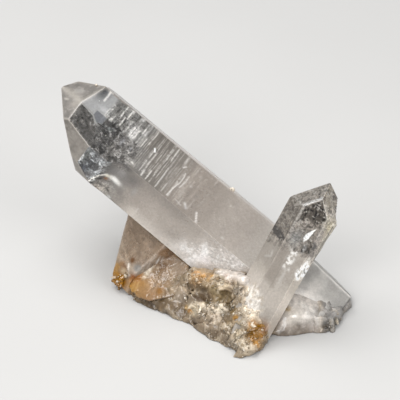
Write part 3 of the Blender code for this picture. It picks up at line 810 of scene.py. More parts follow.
smooth = tints(smooth,
    (cap_zone * step(mottle(face_spots, 1.6, 125, layers=3), 0.6, 1.2) * 0.8, "#c3c7c9"),
    (cap_zone * step(mottle(face_spots, 1.9, 127, layers=3), 0.5, 1.0) * 0.85, "#45464a"),
    (blot(u, v, (23.4, -6.0), (5.0, 3.4)) * 0.95, "#c6bfb5"))
smooth = marks(smooth, u, v, [
    (11.6, 3, 0.7, 3.6, 0, "#858883", 0.8), (10.4, 1.2, 0.6, 2.6, 0, "#d6d6d4", 1),
    (15.2, 6.3, 3, 0.5, 0, "#45433f", 0.8), (17.6, 3.7, 0.4, 0.35, 0, "#cfd1d0", 1),
    (20, 5.6, 0.5, 0.5, 0, "#a9aaa8", 0.9), (16.9, 2.4, 1, 0.5, 10, "#464545", 0.9),
    (14.8, 5.2, 1, 0.7, 0, "#4d4d50", 0.8), (14, -2, 1.1, 1.5, 20, "#686d77", 0.9),
    (16.4, -3.6, 1.4, 1.3, 0, "#929093", 0.8), (13.2, 3, 0.4, 1.4, 0, "#9a9793", 0.7),
    (13, 0.6, 0.4, 1.6, 0, "#56565a", 0.7), (16.8, -1.6, 1.3, 0.7, 0, "#8f9192", 0.7),
    (24.5, 3.5, 4, 2.6, 0, "#9c9997", 0.9), (26.4, 5, 1.2, 1.2, 0, "#b0aeab", 0.6),
    (31, 5, 3.4, 3, 0, "#77736f", 0.8), (34, 1.6, 1, 2, 0, "#a8a7a4", 0.5),
    (38, -6.4, 1.6, 2.4, 0, "#c9c0b6", 0.7), (45, -8.2, 1.8, 0.7, 0, "#d4cec6", 0.7),
    (58, -6, 3, 2.6, 0, "#c0bab2", 0.5), (25.6, 0.2, 3, 1.2, -6, "#f3f1ec", 1),
    (22.4, 0.3, 0.8, 0.6, 0, "#eae3ce", 0.9), (22.5, -1.1, 0.8, 0.7, 0, "#a8744a", 1),
    (20.8, -2.2, 1.3, 0.5, 48, "#1c1817", 1), (23.4, -2.1, 1, 0.35, 0, "#5b5755", 0.8),
    (19.2, -5.4, 1, 0.5, 30, "#35332f", 0.9), (22.4, -4.6, 1.4, 0.45, -12, "#3f3d3a", 0.9),
    (25.6, -5.6, 1.5, 0.5, -30, "#403e3b", 0.9), (27.6, -7.6, 0.9, 0.6, 0, "#cdcfcd", 0.8),
    (19.2, -6.8, 0.9, 0.7, 0, "#d9d4ce", 0.7), (21.4, -7, 1.2, 0.9, 0, "#a5958a", 0.6),
    (26.6, -3.4, 1.4, 0.9, 0, "#b4b2ae", 0.5), (23.5, -3.2, 1.2, 0.8, 0, "#b5b3b1", 0.5),
    (24.4, -7.6, 1.2, 0.5, 0, "#bab6b2", 0.7),
], [
    (17.6, -8.4, 17.9, -6.4, 18.5, -4.2, 19.3, -2.2, 20.3, -0.6, 22, 0.9, 0.36, "#dedad2", 1),
    (15, 9.1, 16.9, 13.6, 0.4, "#b1afaa", 0.8), (39.2, -3, 39, -8.6, 0.3, "#d1cbc3", 0.35),
    (46.2, -2, 45.8, -8, 0.3, "#cac3ba", 0.25),
])
smooth = tint(smooth, step(-u, 7.2, 8.4) * step(v, 34, 40) * 0.6, "#cbc3b9")
# The white, cloudy root zone, brightest along a slanting belt.
cloud_noise = mottle(spots, 4.0, 131, layers=5)
swirl = np.abs(mottle(spots + 1.4 * mottle(spots, 3.6, 145)[..., None], 2.6, 147))
belt = bell(u - 1.6 - 0.62 * (v - 72.0), 5.6) * between(v, 56.0, 66.0, 84.0, 90.0)
smooth = tints(smooth,
    (belt * np.clip(0.75 + 0.25 * cloud_noise, 0, 1), "#d3cdc8"),
    (belt * step(cloud_noise, 0.5, 1.3) * 0.7, "#eae8e6"),
    (belt * (1 - step(cell_noise(spots, 2.1, 141)[0], 0.10, 0.24)) * 0.8, "#8d8a87"),
    (belt * step(mottle(spots, 1.3, 143), 0.9, 1.6) * 0.5, "#a7a29c"),
    ((1 - step(swirl, 0.05, 0.24)) * step(v, 62.0, 70.0) * step(u, -7.0, -1.0) * 0.45, "#eeebe7"),
    (belt * step(mottle(spots, 0.9, 149), 0.7, 1.4) * 0.6, "#f4f2ef"),
    (blot(u, v, (71.0, -1.6), (2.4, 1.8)) * 0.8, "#dcd6d4"),
    (blot(u, v, (83.0, 9.4), (0.9, 0.9)) * 0.9, "#ece7da"),
    (between(v, 82.0, 86.0, 100.0, 104.0) * 0.6, "#b8aea4"))
SMOOTH_LIGHT = 0.89
colour = np.where(on_smooth[..., None], smooth * SMOOTH_LIGHT, colour)
print("smooth side coloured:", int(on_smooth.sum()), "points")

# %% [markdown]
# Fine growth hillocks frost the point faces, so they scatter light evenly, in an even grey with
# soft paler spots, and their edges get a painted highlight. The root stub on the right is where the crystal
# broke off: greyer, glassy quartz with one white cloud in it, from broad noise and one soft lump, and pale
# edges that are a painted highlight.

# %% Colours on the point faces and the root stub
POINT_LIGHT = 0.54
u = across_striated
unevenness = 1 + 0.07 * middle_noise + 0.07 * fine + 0.03 * broad
point_tone = linear("#9f9890") * POINT_LIGHT * (unevenness * (0.87 + 0.58 * step(-u, 11.0, 13.0)))[..., None]
point_tone = tint(point_tone, step(mottle(spots, 1.5, 161, layers=3), 0.9, 1.7) * 0.35, "#aaa59d")
point_tone = marks(point_tone, u, v, [
    (-6.8, 3.4, 1.6, 1.4, 0, "#a5a19b", 0.6), (-4.4, -3.4, 1.6, 1.6, 0, "#a0978e", 0.7),
    (3.4, -3, 1.2, 0.7, 0, "#a39c93", 0.7), (-8.4, -2.2, 0.9, 0.5, 0, "#b9b3a9", 0.8),
])
# Painted highlight: pale lines along the edges of the point.
edge = along_edges(face_reach[..., :CAP_FACE], 0.55) * (1 - step(v, 16.0, 22.0))
point_tone = tint(point_tone, edge * 0.5, "#b3aca1")
# A few dark pits near the very tip.
pit_seeds = np.array([(-0.9, 1.2, 0.3), (0.3, 1.9, 0.2), (-0.2, -1.6, 0.4)]) + tip
for pit in pit_seeds:
    point_tone = tint(point_tone, bell(np.linalg.norm(spots - pit, axis=-1), 0.55) * 0.8, "#3b342e")
colour = np.where(on_point[..., None], point_tone, colour)
# A painted highlight along the edges of the striated side near the tip.
colour = tint(colour, edge * on_striated * (1 - step(v, 10.0, 14.0)) * 0.5, "#c9c3b9")
# Its broken end has a bright rim, a painted highlight, along the edge between the two sides that show.
stub_zone = step(v, 100.0, 104.0)
stub_noise = mottle(spots, 6.0, 151, layers=5)
stub = linear("#8f8c87") * (1 + 0.08 * stub_noise + 0.05 * middle_noise)[..., None]
stub = tint(stub, step(stub_noise, 0.3, 1.4) * 0.4, "#b5b1ab")
lump = near(spots + MAIN_POINT, (30.5, -9.5, 9.0), (9.0, 8.0, 7.0))
stub = tints(stub,
    (np.clip(lump * (1.2 + 0.25 * middle_noise), 0, 1), "#dcd6cf"),
    (along_edges(face_reach[..., :CAP_FACE], 0.5) * 0.8, "#d6d2cc"))
colour = colour * (1 - stub_zone[..., None]) + stub * stub_zone[..., None]
print("mean colour of the long crystal:", colour.reshape(-1, 3).mean(axis=0).round(3))

# %% [markdown]
# How clear the crystal is falls off from the point to the root, as the bubbles get denser. White
# scars are solid, a growth line scatters a little, and the root is duller than the point. These
# are three more fields on the mesh: clearness, mattness and the strength of the speckle.

# %% How clear and how smooth each point of the long crystal is
clarity = 0.50 * (1 - step(down, 16.0, 44.0)) + 0.10
clarity = np.where(on_striated, clarity + 0.2 * np.maximum(painted_window, 0.3 * veil_zone), clarity)
clarity = np.where(on_point, 0.30, clarity)
clarity = clarity - 0.35 * belt
clarity = np.clip(clarity - 0.5 * np.clip(pause_lines, 0, 1) * on_striated, 0.02, 0.9)
# White scars are solid white, not clear, and the healed fractures are speckled finer than the mesh.
clarity = clarity * (1 - 0.9 * step(colour.mean(axis=-1), 0.30, 0.60))
speckle = on_striated * np.maximum(veil_zone, 0.9 * broken_zone) + on_smooth * (cap_zone + 0.25 * belt)
speckle = speckle + on_smooth * 1.3 * blot(across_smooth, down, (22.8, -5.4), (4.4, 3.2))
matt = 0.16 + 0.10 * step(down, 40.0, 70.0) + 0.02 * np.abs(middle_noise)
matt = np.where(on_point, 0.30 + 0.02 * fine, matt)
matt = matt + 0.2 * stub_zone
print("clearness from", clarity.min().round(2), "to", clarity.max().round(2))

# %% [markdown]
# Rock crystal grows from hot water, atom by atom, so its faces are as smooth as glass and it
# bends light as quartz does, with an index of 1.544. Towards the root it is full of fluid bubbles,
# too small to see, which make it milky: light goes in, wanders a few millimetres and comes out.
# The clear part is see-through. One material serves both, and a field on the mesh says which is which.
# Another field says how far a fine noise speckles the colour, where healed fractures break the light up.

# %% Material: rock crystal, clear to milky
QUARTZ_IOR = 1.544
WISP_MM = 0.8
SCUFF_MM = 2.5


def crystal_material(name, subsurface, bump_mm, bump_scale, bump_strength, cells=False):
    """Clear-to-milky quartz that takes its colour, clearness and roughness from the mesh."""
    material, tree, shader = new_material(name)
    place = node(tree, "ShaderNodeTexCoord").outputs["Object"]
    paint, clear, rough, speckle, sugar = [
        node(tree, "ShaderNodeAttribute", {"attribute_name": field})
        for field in ("quartz_colour", "clearness", "mattness", "speckle", "graininess")]
    multiply_add = {"operation": "MULTIPLY_ADD"}
    # The colour times 1 + (wisps - 0.5) x (3 x speckle + 0.6).
    wisps = node(tree, "ShaderNodeTexNoise", Vector=place, Scale=1.0 / (WISP_MM * METRES), Detail=2.0,
                 Roughness=0.8)
    amount = node(tree, "ShaderNodeMath", multiply_add, _0=speckle.outputs["Fac"], _1=3.0, _2=0.6)
    swing = node(tree, "ShaderNodeMath", {"operation": "SUBTRACT"}, _0=wisps.outputs["Fac"], _1=0.5)
    lift = node(tree, "ShaderNodeMath", multiply_add, _0=swing.outputs[0], _1=amount.outputs[0], _2=1.0)
    shade = node(tree, "ShaderNodeMix", {"data_type": "RGBA", "blend_type": "MULTIPLY"}, Factor=1.0,
                 _6=paint.outputs["Color"], _7=lift.outputs[0])
    tree.links.new(shade.outputs[2], shader.inputs["Base Color"])
    tree.links.new(clear.outputs["Fac"], shader.inputs["Transmission Weight"])
    # Fine scuffs add up to a tenth to the roughness.
    scuffs = node(tree, "ShaderNodeTexNoise", Vector=place, Scale=1.0 / (SCUFF_MM * METRES), Detail=4.0)
    uneven = node(tree, "ShaderNodeMath", multiply_add, _0=scuffs.outputs["Fac"], _1=0.10,
                  _2=rough.outputs["Fac"])
    tree.links.new(uneven.outputs[0], shader.inputs["Roughness"])
    if cells:
        grain = node(tree, "ShaderNodeTexVoronoi", Vector=place, Scale=1.0 / (bump_scale * METRES))
        relief = node(tree, "ShaderNodeMath", {"operation": "MULTIPLY"}, _0=grain.outputs["Distance"],
                      _1=sugar.outputs["Fac"]).outputs[0]
    else:
        grain = node(tree, "ShaderNodeTexNoise", Vector=place, Scale=1.0 / (bump_scale * METRES), Detail=4.0)
        relief = grain.outputs["Fac"]
    bump = node(tree, "ShaderNodeBump", Strength=bump_strength, Distance=bump_mm * METRES, Height=relief)
    tree.links.new(bump.outputs[0], shader.inputs["Normal"])
    shader.inputs["IOR"].default_value = QUARTZ_IOR
    shader.inputs["Subsurface Weight"].default_value = subsurface
    shader.inputs["Subsurface Radius"].default_value = (1.0, 0.9, 0.8)
    shader.inputs["Subsurface Scale"].default_value = 2.5 * METRES
    return material


rock_crystal = crystal_material("rock_crystal_clear_to_milky", 0.25, 0.05, 0.8, 0.25)
print("material:", rock_crystal.name)

# %% [markdown]
# The long crystal is one closed skin: its grid of rings from the tip to the root, with one point
# more at each end. A closed skin lets the light bend on its way in and again on its way out.

# %% The long crystal
def with_poles(grid, first_pole, last_pole):
    """The grid's points in one list between its two poles."""
    return np.concatenate([first_pole[None], grid.reshape(-1, 3), last_pole[None]])


def field_with_poles(values):
    """One value per point, with the poles taking the mean of their ring."""
    flat = values.reshape(values.shape[0] * values.shape[1], *values.shape[2:])
    return np.concatenate([values[0].mean(axis=0)[None], flat, values[-1].mean(axis=0)[None]])


def crystal_piece(name, point, grid, tip_place, root_place, material, colour, clearness, mattness, speckle):
    """A crystal from its grid, which is seen from the point on its axis."""
    rows, cols = grid.shape[:2]
    quads, triangles = closed_grid_faces(rows, cols)
    points = with_poles(grid, tip_place, root_place) + point
    fields = {"quartz_colour": field_with_poles(np.clip(colour, 0.0, 1.0)),
              "clearness": field_with_poles(clearness), "mattness": field_with_poles(mattness),
              "speckle": field_with_poles(speckle)}
    return mesh_piece(name, points, quads, triangles, material, fields)


crystal_piece("long_crystal", MAIN_POINT, main_grid, tip, main_root,
              rock_crystal, colour, clarity, matt, speckle)

# %% [markdown]
# The shorter crystal and its thin sister share their axis direction. The sister stands along the
# right side, so the outer of the two surfaces is taken wherever a ray passes through both.

# %% The shorter crystal's shape
SECOND_POINT = np.array((34.78, 1.87, 45.37))
SECOND_AXES = axis_frame(34.7, 55.4)
POINT_LEAN = 38.2
FRONT_TURN = -43.5
SECOND_FACES = [
    (FRONT_TURN, 0.0, 8.6), (18.5, 0.0, 7.0), (-103.5, 0.0, 10.1),
    (-161.5, 0.0, 7.4), (136.5, 0.0, 8.6), (76.5, 0.0, 8.3),
    (18.5, POINT_LEAN, 5.5), (-103.5, POINT_LEAN, 7.9), (136.5, POINT_LEAN, 6.6), (76.5, POINT_LEAN, 5.7),
]
SECOND_ROOT = 58.0
SISTER_OFFSET = np.array((41.58, -1.3, 42.76)) - SECOND_POINT
SISTER_FACES = [
    (-43.5, -3.0, 4.1), (-103.5, -4.5, 3.7), (-163.5, 0.0, 2.1), (136.5, 0.0, 4.5), (46.5, 0.0, 4.5),
    (-103.5, 45.0, 1.6), (-43.5, POINT_LEAN, 1.3), (156.5, 40.0, 0.6),
]
normals, distances = planes_of(SECOND_AXES, SECOND_FACES, SECOND_POINT[2])
second_tip = first_corner(normals, distances, SECOND_AXES[0])
tip_down = -float(second_tip @ SECOND_AXES[0])
down_rows = np.concatenate([np.arange(0.12, 34.0, 0.27), np.arange(34.0, SECOND_ROOT - tip_down, 0.4)])
down_rows = down_rows + tip_down
columns = spread_columns(
    [(18.5, 7.0), (FRONT_TURN, 8.6), (-103.5, 10.1), (-161.5, 7.4), (136.5, 8.6), (76.5, 8.3)],
    [46, 66, 40, 16, 22, 26])
SECOND_BEND = 9.0
centre_grid, ray_grid = ray_grids(SECOND_AXES, second_tip, down_rows, columns, SECOND_BEND,
                                  height=SECOND_POINT[2])
reach_second, second_far = first_meeting(centre_grid, ray_grid, normals, distances)

sister_normals, sister_distances = planes_of(SECOND_AXES, SISTER_FACES)
toward = ray_grid @ sister_normals.T
gap = sister_distances - (centre_grid - SISTER_OFFSET) @ sister_normals.T
crossing = gap / np.where(np.abs(toward) < 1e-6, 1e-6, toward)
leaves = np.where(toward > 0, crossing, 1e4).min(axis=-1)
enters = np.where(toward < 0, crossing, -1e4).max(axis=-1)
sister_there = (enters < leaves) & (enters < reach_second + 0.4) & (leaves > reach_second)
reach_both = np.where(sister_there, leaves, reach_second)
second_grid = centre_grid + ray_grid * reach_both[..., None]
print("shorter crystal grid:", second_grid.shape, "sister points", int(sister_there.sum()))

# %% [markdown]
# What lies inside the shorter crystal is seen through its front face, so places are measured where
# the line of sight, as the camera has it, crosses the plane of that face. Near the tip it mirrors
# its own dark back in flecks, a painted reflection, then come a lens-shaped flash, a painted highlight,
# and a bright broken patch, and low down it crumbles into white grains. Each is a patch with its own
# corners, broken up by fine noise.

# %% Colours inside the shorter crystal
SIGHT = np.array([0.0, -math.cos(CAMERA_ELEVATION), math.sin(CAMERA_ELEVATION)])
front_normal = face_normal(SECOND_AXES, FRONT_TURN, 0.0)
run = (SECOND_FACES[0][2] - second_grid @ front_normal) / (SIGHT @ front_normal)
seen = second_grid + SIGHT * run[..., None]
v = -(seen @ SECOND_AXES[0])
u = face_place(seen, SECOND_AXES, FRONT_TURN)
down = -(second_grid @ SECOND_AXES[0])
on_second = second_far.argmin(axis=-1)
FRONT, LEFT, RIGHT, LEFT_POINT, RIGHT_POINT = 0, 1, 2, 6, 7
front = (on_second == FRONT) | (on_second == RIGHT) | sister_there
right = (on_second == RIGHT) | (on_second == RIGHT_POINT) | sister_there
spots = second_grid + SECOND_POINT
face_spots = stacked(v, u, 80.0)
broad = mottle(spots, 7.0, 203)
middle_noise = mottle(spots, 2.4, 205)
fine = mottle(spots, 0.9, 207, layers=3)
colour = linear("#aba399") * (1 + 0.030 * broad + 0.030 * middle_noise + 0.015 * fine)[..., None]
swirl = np.abs(mottle(face_spots + 1.2 * mottle(face_spots, 4.0, 225)[..., None], 3.0, 227))
upper = 1 - step(v + 0.9 * middle_noise + 0.5 * fine, 12.6, 18.6)
colour = tints(colour,
    (between(v, 26.0, 34.0, 38.0, 44.0) * 0.8, "#c2b9af"),
    ((1 - step(swirl, 0.04, 0.20)) * step(v, 16.0, 22.0) * 0.35, "#d6cfc6"),
    (blot(u, v, (20.0, -2.4), (5.0, 3.0)) * 0.6, "#a49c93"),
    (blot(u, v, (24.0, 4.4), (4.0, 1.8)) * 0.5, "#a89f96"),
    (patch(u, v, ((14.0, -3.4), (30.0, -3.4), (32.0, 1.4), (15.0, 0.2)), 1.4) * 0.8, "#978e84"),
    (upper, "#a39a90"))
colour = colour * (1 + upper * (0.12 * middle_noise + 0.17 * fine))[..., None]
dark_flecks = step(mottle(face_spots, 1.1, 211, layers=3), 0.35, 0.95)
pale_flecks = step(mottle(face_spots, 0.9, 213, layers=3), 0.75, 1.3)

# The front, from its tip: nearly black mottling, a lens-shaped flash, a dark patch, a bright broken patch;
# the mottling and the dark patch are painted reflections of its dark back, the flash is a painted highlight.
painted_dark_back = np.maximum.reduce([
    patch(u, v, ((-4.6, 7.4), (1.6, 7.6), (3.4, 4.0), (3.4, -0.4), (-2.4, -1.4), (-4.8, 2.2)), 0.9),
    patch(u, v, ((3.4, 0.6), (5.6, -2.2), (-0.4, -3.2), (-2.4, -0.6)), 0.9),
    0.8 * patch(u, v, ((9.2, 8.6), (15.4, 8.4), (15.6, 3.6), (12.6, 3.4), (9.4, 5.2)), 0.8)])
# The lens-shaped flash: a painted highlight.
lens = patch(u, v, ((5.2, 4.9), (7.0, 4.6), (9.8, 4.1), (11.7, 3.1),
                    (10.2, 2.3), (8.6, 2.5), (6.8, 3.6)), 0.22)
bright_patch = patch(u, v, ((16.2, 8.3), (19.6, 10.2), (22.4, 10.3), (25.2, 8.4),
                            (25.4, 7.4), (23.6, 6.0), (20.6, 6.3), (17.8, 7.6)), 0.7)
tone = tints(colour,
    (painted_dark_back * 0.9, "#453f38"),
    (patch(u, v, ((-4.6, 7.6), (9.0, 8.4), (9.6, -2.6), (-1.0, -3.2), (-4.8, 2.2)), 1.2) * dark_flecks
     * 0.6, "#4a453f"),
    (painted_dark_back * dark_flecks * 0.95, "#231f1c"),
    (patch(u, v, ((-4.6, 7.6), (11.0, 8.4), (11.6, -2.6), (-1.0, -3.2), (-4.8, 2.2)), 1.2) * pale_flecks
     * 0.6, "#c9c3ba"),
    (blot(u, v, (7.0, 6.4), (2.2, 1.4)) * 0.75, "#a39b93"),
    (blot(u, v, (13.8, 4.4), (1.6, 0.6)) * np.clip(0.6 + 0.4 * fine, 0, 1), "#dddbd7"),
    (blot(u, v, (12.0, 0.0), (3.2, 2.6)) * 0.7, "#a5a7a6"),
    (lens, "#fbfaf7"),
    (patch(u, v, ((15.9, 3.2), (23.5, 3.4), (23.5, 0.8), (15.9, 0.5)), 0.9)
     * np.clip(0.25 + 0.75 * fine + 0.2 * middle_noise, 0, 1), "#f2efea"),
    (blot(u, v, (27.0, 2.5), (3.4, 0.5)) * 0.7, "#cdc7c0"),
    (bell(u - 0.5, 0.22) * between(v, 15.5, 17.0, 30.0, 40.0) * 0.5, "#8f877e"),
    (bright_patch * np.clip(0.85 + 0.45 * fine, 0, 1), "#fffefb"),
    (bright_patch * dark_flecks * step(mottle(spots, 1.6, 221), 0.0, 0.8) * 0.7, "#7d7972"))
tone = marks(tone, u, v, [
    (21.6, 9.4, 0.4, 0.9, -20, "#4b4a45", 1), (20.6, 8.7, 0.9, 0.35, 20, "#6a6862", 0.9),
    (19.2, 8.2, 0.6, 0.25, -20, "#8b8880", 0.8), (23.6, 7.6, 0.7, 0.35, 20, "#4f4e49", 0.95),
    (22.8, 6.9, 0.5, 0.2, 0, "#86837c", 0.9), (22.2, 8.5, 0.6, 0.25, 50, "#77756f", 0.8),
    (17.6, 9.5, 0.9, 0.3, -20, "#a89f95", 0.8), (44, 8.6, 4.6, 2, 0, "#a0978d", 0.7),
    (46.5, 1.4, 1, 1, 0, "#f3ece0", 0.9),
])
tone = tint(tone, bell(u + 2.9, 0.35) * between(v, -0.5, 0.5, 9.0, 11.0) * 0.7, "#cac5be")
colour = np.where(front[..., None], tone, colour)
# The left side: grey cells, then the black band where the clear part ends.
cells_near, cells_next = cell_noise(face_spots, 1.7, 215)
wall = cells_next - cells_near
# Darker from 12 mm down, then lighter from 22 mm down: painted light, where the lamps reach the left side
# less.
tone = colour * (1 - 0.24 * step(v, 12.0, 18.0) + 0.34 * step(v, 22.0, 30.0))[..., None]
tone = tints(tone,
    (upper * 0.75, "#797269"),
    (upper * step(wall, 0.16, 0.42) * 0.55, "#4e4943"),
    (upper * (1 - step(wall, 0.02, 0.14)) * 0.4, "#9d978f"),
    (upper * dark_flecks * 0.45, "#45403a"),
    (upper * pale_flecks * 0.5, "#b9b4ab"),
    (patch(u, v, ((15.0, -3.0), (15.2, -4.6), (13.4, -8.8), (10.8, -8.8), (12.0, -5.6), (13.6, -3.4)), 0.4)
     * np.clip(1.0 - 0.9 * pale_flecks, 0, 1), "#383635"),
    (scratch(u, v, ((20.0, -5.0), (22.0, -4.6), (23.0, -6.4)), 0.3) * 0.5, "#d0cbc5"))
colour = np.where((on_second == LEFT)[..., None], tone, colour)
# The point: frosted, with a white band over the front face, a painted highlight.
over_front = np.clip((second_far[..., 0] - reach_second) / 2.6, 0.0, 1.0)
tone = linear("#9b948b") * (1 + 0.14 * middle_noise + 0.14 * fine)[..., None]
tone = tints(tone,
    (pale_flecks * 0.5, "#cdc8bf"),
    (dark_flecks * 0.35, "#6b655d"),
    ((1 - step(over_front, 0.25, 0.75)) * (on_second == LEFT_POINT) * np.clip(0.9 + 0.2 * fine, 0, 1),
     "#e9e8e5"),
    ((on_second == RIGHT_POINT) * np.clip(0.5 + 0.3 * middle_noise, 0, 1), "#8f8676"),
    ((on_second == RIGHT_POINT) * dark_flecks * 0.8, "#453f38"))
colour = np.where(((on_second >= LEFT_POINT) & ~sister_there)[..., None], tone, colour)
# Pale edges at the point, a painted highlight, then the sister: a little yellow, with a dark line inside it.
sister_top = sister_there * (1 - step(v, 15.0, 19.0))
colour = tints(colour,
    (along_edges(second_far, 0.40) * (1 - step(v, 6.0, 12.0)) * 0.45 * ~sister_there, "#d3cec6"),
    (sister_top * np.clip(0.8 + 0.2 * fine, 0, 1), "#bcb4a5"),
    (blot(u, v, (1.6, 9.0), (3.0, 2.0)) * 0.7, "#c0b69b"),
    (sister_top * bell(u - 10.0, 0.25) * 0.8, "#5f5b53"),
    (sister_there * (1 - step(v, 0.4, 1.6)) * 0.5, "#e0dbcd"))
# Low on the left it crumbles into the snow-white grains of the foot, and rust sits in them.
glow = np.maximum.reduce([
    near(spots, (13.0, -15.5, 18.0), (4.6, 5.0, 4.6)), near(spots, (13.4, -19.6, 14.0), (4.6, 5.0, 5.6)),
    near(spots, (12.4, -22.6, 10.0), (2.6, 3.0, 3.0))])
crumbly = step(glow + 0.10 * mottle(spots, 2.6, 217) + 0.04 * fine, 0.30, 0.95)
crumbs = mottle(spots, 1.5, 219, layers=3)
rust = np.maximum(blot(u, v, (47.6, 4.8), (2.6, 2.6)), blot(u, v, (49.6, 2.6), (1.8, 2.6))) * front
colour = tints(colour,
    (crumbly * np.clip(0.9 + 0.1 * crumbs, 0, 1), "#eae3d9"),
    (crumbly * (1 - crumbly) * 2.0 * step(-crumbs, 0.2, 1.2), "#b3a48f"),
    (crumbly * step(-crumbs, 0.4, 1.3) * 0.5, "#c2b5a4"),
    (rust * np.clip(1.25 + 0.35 * middle_noise, 0, 1), "#99631f"),
    (rust * dark_flecks * 0.7, "#6b3f12"))
second_grid = second_grid + ray_grid * (crumbly * 0.16 * crumbs)[..., None]
# Painted light: the right side and the sister, which face away from the lamps, are lightened in their colour;
# the rest is darkened a little.
SECOND_LIGHT = 0.77
RIGHT_SIDE_PAINTED_LIGHT = 1.35
colour = colour * np.where(right, RIGHT_SIDE_PAINTED_LIGHT, SECOND_LIGHT)[..., None]
clarity = 0.10 + 0.34 * upper * (1 - lens) * (1 - 0.95 * painted_dark_back) + 0.05 * middle_noise * upper
clarity = np.clip(clarity, 0.03, 0.85)
clarity = clarity * (1 - 0.8 * bright_patch * front) * (1 - 0.7 * crumbly)
matt = 0.15 + 0.10 * (1 - upper) + 0.15 * crumbly
crystal_piece("shorter_crystal", SECOND_POINT, second_grid, second_tip, centre_grid[-1, 0],
              rock_crystal, colour, clarity, matt, upper * 0.8 + crumbly * 0.3)

# %% [markdown]
# The stained crystal points down to the left, under the long one. Its end is broken, iron-rich
# water ran along it, and it is smokier and greyer than the others.

# %% The stained crystal
STAINED_POINT = np.array((-31.23, 7.31, 9.74))
STAINED_AXES = axis_frame(-164.9, -43.7)
STAINED_FACES = [
    (26.6, 0.0, 0.0), (86.6, 0.0, 0.0), (-25.9, 30.5, 8.7), (146.6, 0.0, 14.0), (-93.4, 0.0, 23.3),
    (-153.4, 0.0, 23.0), (29.8, 20.8, 0.1), (-21.3, 45.2, 9.2), (53.5, 71.5, 7.2),
]
normals, distances = planes_of(STAINED_AXES, STAINED_FACES, STAINED_POINT[2])
stained_tip = first_corner(normals, distances, STAINED_AXES[0])
tip_down = -float(stained_tip @ STAINED_AXES[0])
STAINED_ROOT = 26.0
# The axis point lies on two of the faces, so the rays start from a line well inside.
inner = -10.0 * face_normal(STAINED_AXES, 56.6, 0.0) - 2.0 * face_normal(STAINED_AXES, -25.9, 0.0)
down_rows = np.linspace(tip_down + 0.15, STAINED_ROOT, 130)
columns = np.linspace(-math.pi, math.pi, 240, endpoint=False)
STAINED_BEND = 8.0
centre_grid, ray_grid = ray_grids(STAINED_AXES, stained_tip, down_rows, columns, STAINED_BEND, inner)
reach_stained, stained_far = first_meeting(centre_grid, ray_grid, normals, distances)
stained_grid = centre_grid + ray_grid * reach_stained[..., None]
spots = stained_grid + STAINED_POINT
creases = layered_noise(spots, 6.0, 301, layers=4)
stained_grid = stained_grid - ray_grid * (0.25 + 0.35 * np.abs(creases))[..., None]
stained_grid[..., 2] = np.maximum(stained_grid[..., 2], -STAINED_POINT[2])
broad = mottle(spots, 8.0, 303)
fine = mottle(spots, 1.6, 305)
finest = mottle(spots, 0.8, 307, layers=2)
colour = linear("#8f7c69") * (1 + 0.07 * broad + 0.06 * fine + 0.03 * finest)[..., None]
# Painted highlights make the edges paler than the faces, and cracks inside show as seams that run down its
# length.
axis, level, uphill = STAINED_AXES
ribbon = np.abs(mottle(stacked(spots @ axis * 0.22, spots @ level, spots @ uphill), 3.4, 309))
colour = tints(colour,
    (along_edges(stained_far, 0.8) * 0.55, "#c0b09e"),
    ((1 - step(ribbon, 0.05, 0.22)) * 0.35, "#b09d8a"))
# The bright ridge line, the near-white streaks beside it and the near-white seams low on the left are painted
# highlights; the other seams are cracks.
colour = streak(colour, spots, [
    (-33.7, 23.8, 23.1, -31.1, 18.5, 20.1, -29.7, 13.7, 16.8, -28.6, 9.4, 13.6, 0.5, "#ab9886", 0.8),
    (-32.4, 21, 21.6, -30.2, 16, 18.4, -29.4, 11.5, 15.2, 0.7, "#6c5946", 0.6),
    (-38.5, 21, 16.8, -36.6, 17.4, 15.4, -35.3, 15.7, 14.4, -34.4, 12.2, 11.8,
     -32, 9.4, 10, 0.45, "#b7a48f", 0.7),
    (-19.4, 10.6, 20.2, -22.4, 9.6, 17.3, -24.8, 9, 15.2, -28.9, 8.2, 12.3,
     -31.5, 8, 9.8, 0.45, "#c9bcae", 0.95),
    (-21.5, 9.9, 16.6, -22.6, 9.5, 14.2, -23.4, 8.9, 12.2, 0.3, "#ece6df", 0.9),
    (-20.2, 10, 15.9, -21.2, 9.6, 13.8, -22, 9, 12.4, 0.28, "#ded5ca", 0.8),
    (-25.6, 9, 13.8, -26.6, 8.6, 11.6, 0.35, "#e3dbd0", 0.8),
    (-27.6, 8.5, 12.6, -28.6, 8.2, 10.6, 0.35, "#d9d0c4", 0.8),
    (-37.8, 15.4, 12.3, -38.8, 14.1, 8.4, 0.5, "#a18c72", 0.7),
    (-33.9, 11.3, 11.4, -34.4, 9.6, 9.6, -34.8, 9, 7.4, 0.5, "#efe8dc", 1),
    (-34.9, 9.6, 7.6, -33.2, 8.8, 8, 0.5, "#efe8dd", 0.8),
])
colour = stain(colour, spots, [
    (-18.4, 10.5, 17.4, 3.4, "#7b6048", 1), (-20.4, 10, 17.6, 1.8, "#8d6f52", 0.9),
    (-32.5, 11.9, 13, 1, "#6b4a2a", 1), (-37.1, 19.1, 16.2, 3, "#9b8a78", 0.6),
    (-36.8, 12.7, 9.5, 2, "#8f6a42", 0.8), (-35.8, 11.8, 9.9, 1.2, "#77502a", 0.8),
    (-30.5, 8.7, 11.6, 1.5, "#8b8985", 0.8), (-26.5, 8.8, 12.8, 2.2, "#8a7a6c", 0.6),
    (-36.4, 11.5, 8, 1.4, "#c8b79c", 0.8), (-39.7, 12.8, 4.1, 3.6, "#9a6b14", 1),
    (-38, 8.9, 4.1, 3.2, "#936310", 1), (-38.8, 14.1, 8, 1.6, "#a98145", 0.8),
    (-32.8, 7, 8.1, 1.6, "#8a4c08", 1), (-33.9, 5.1, 5.2, 2.4, "#c48d42", 0.9),
], 1.5 + 0.3 * fine)
clarity = 0.30 - 0.2 * near(spots, (-37.0, 10.0, 4.0), 5.0)
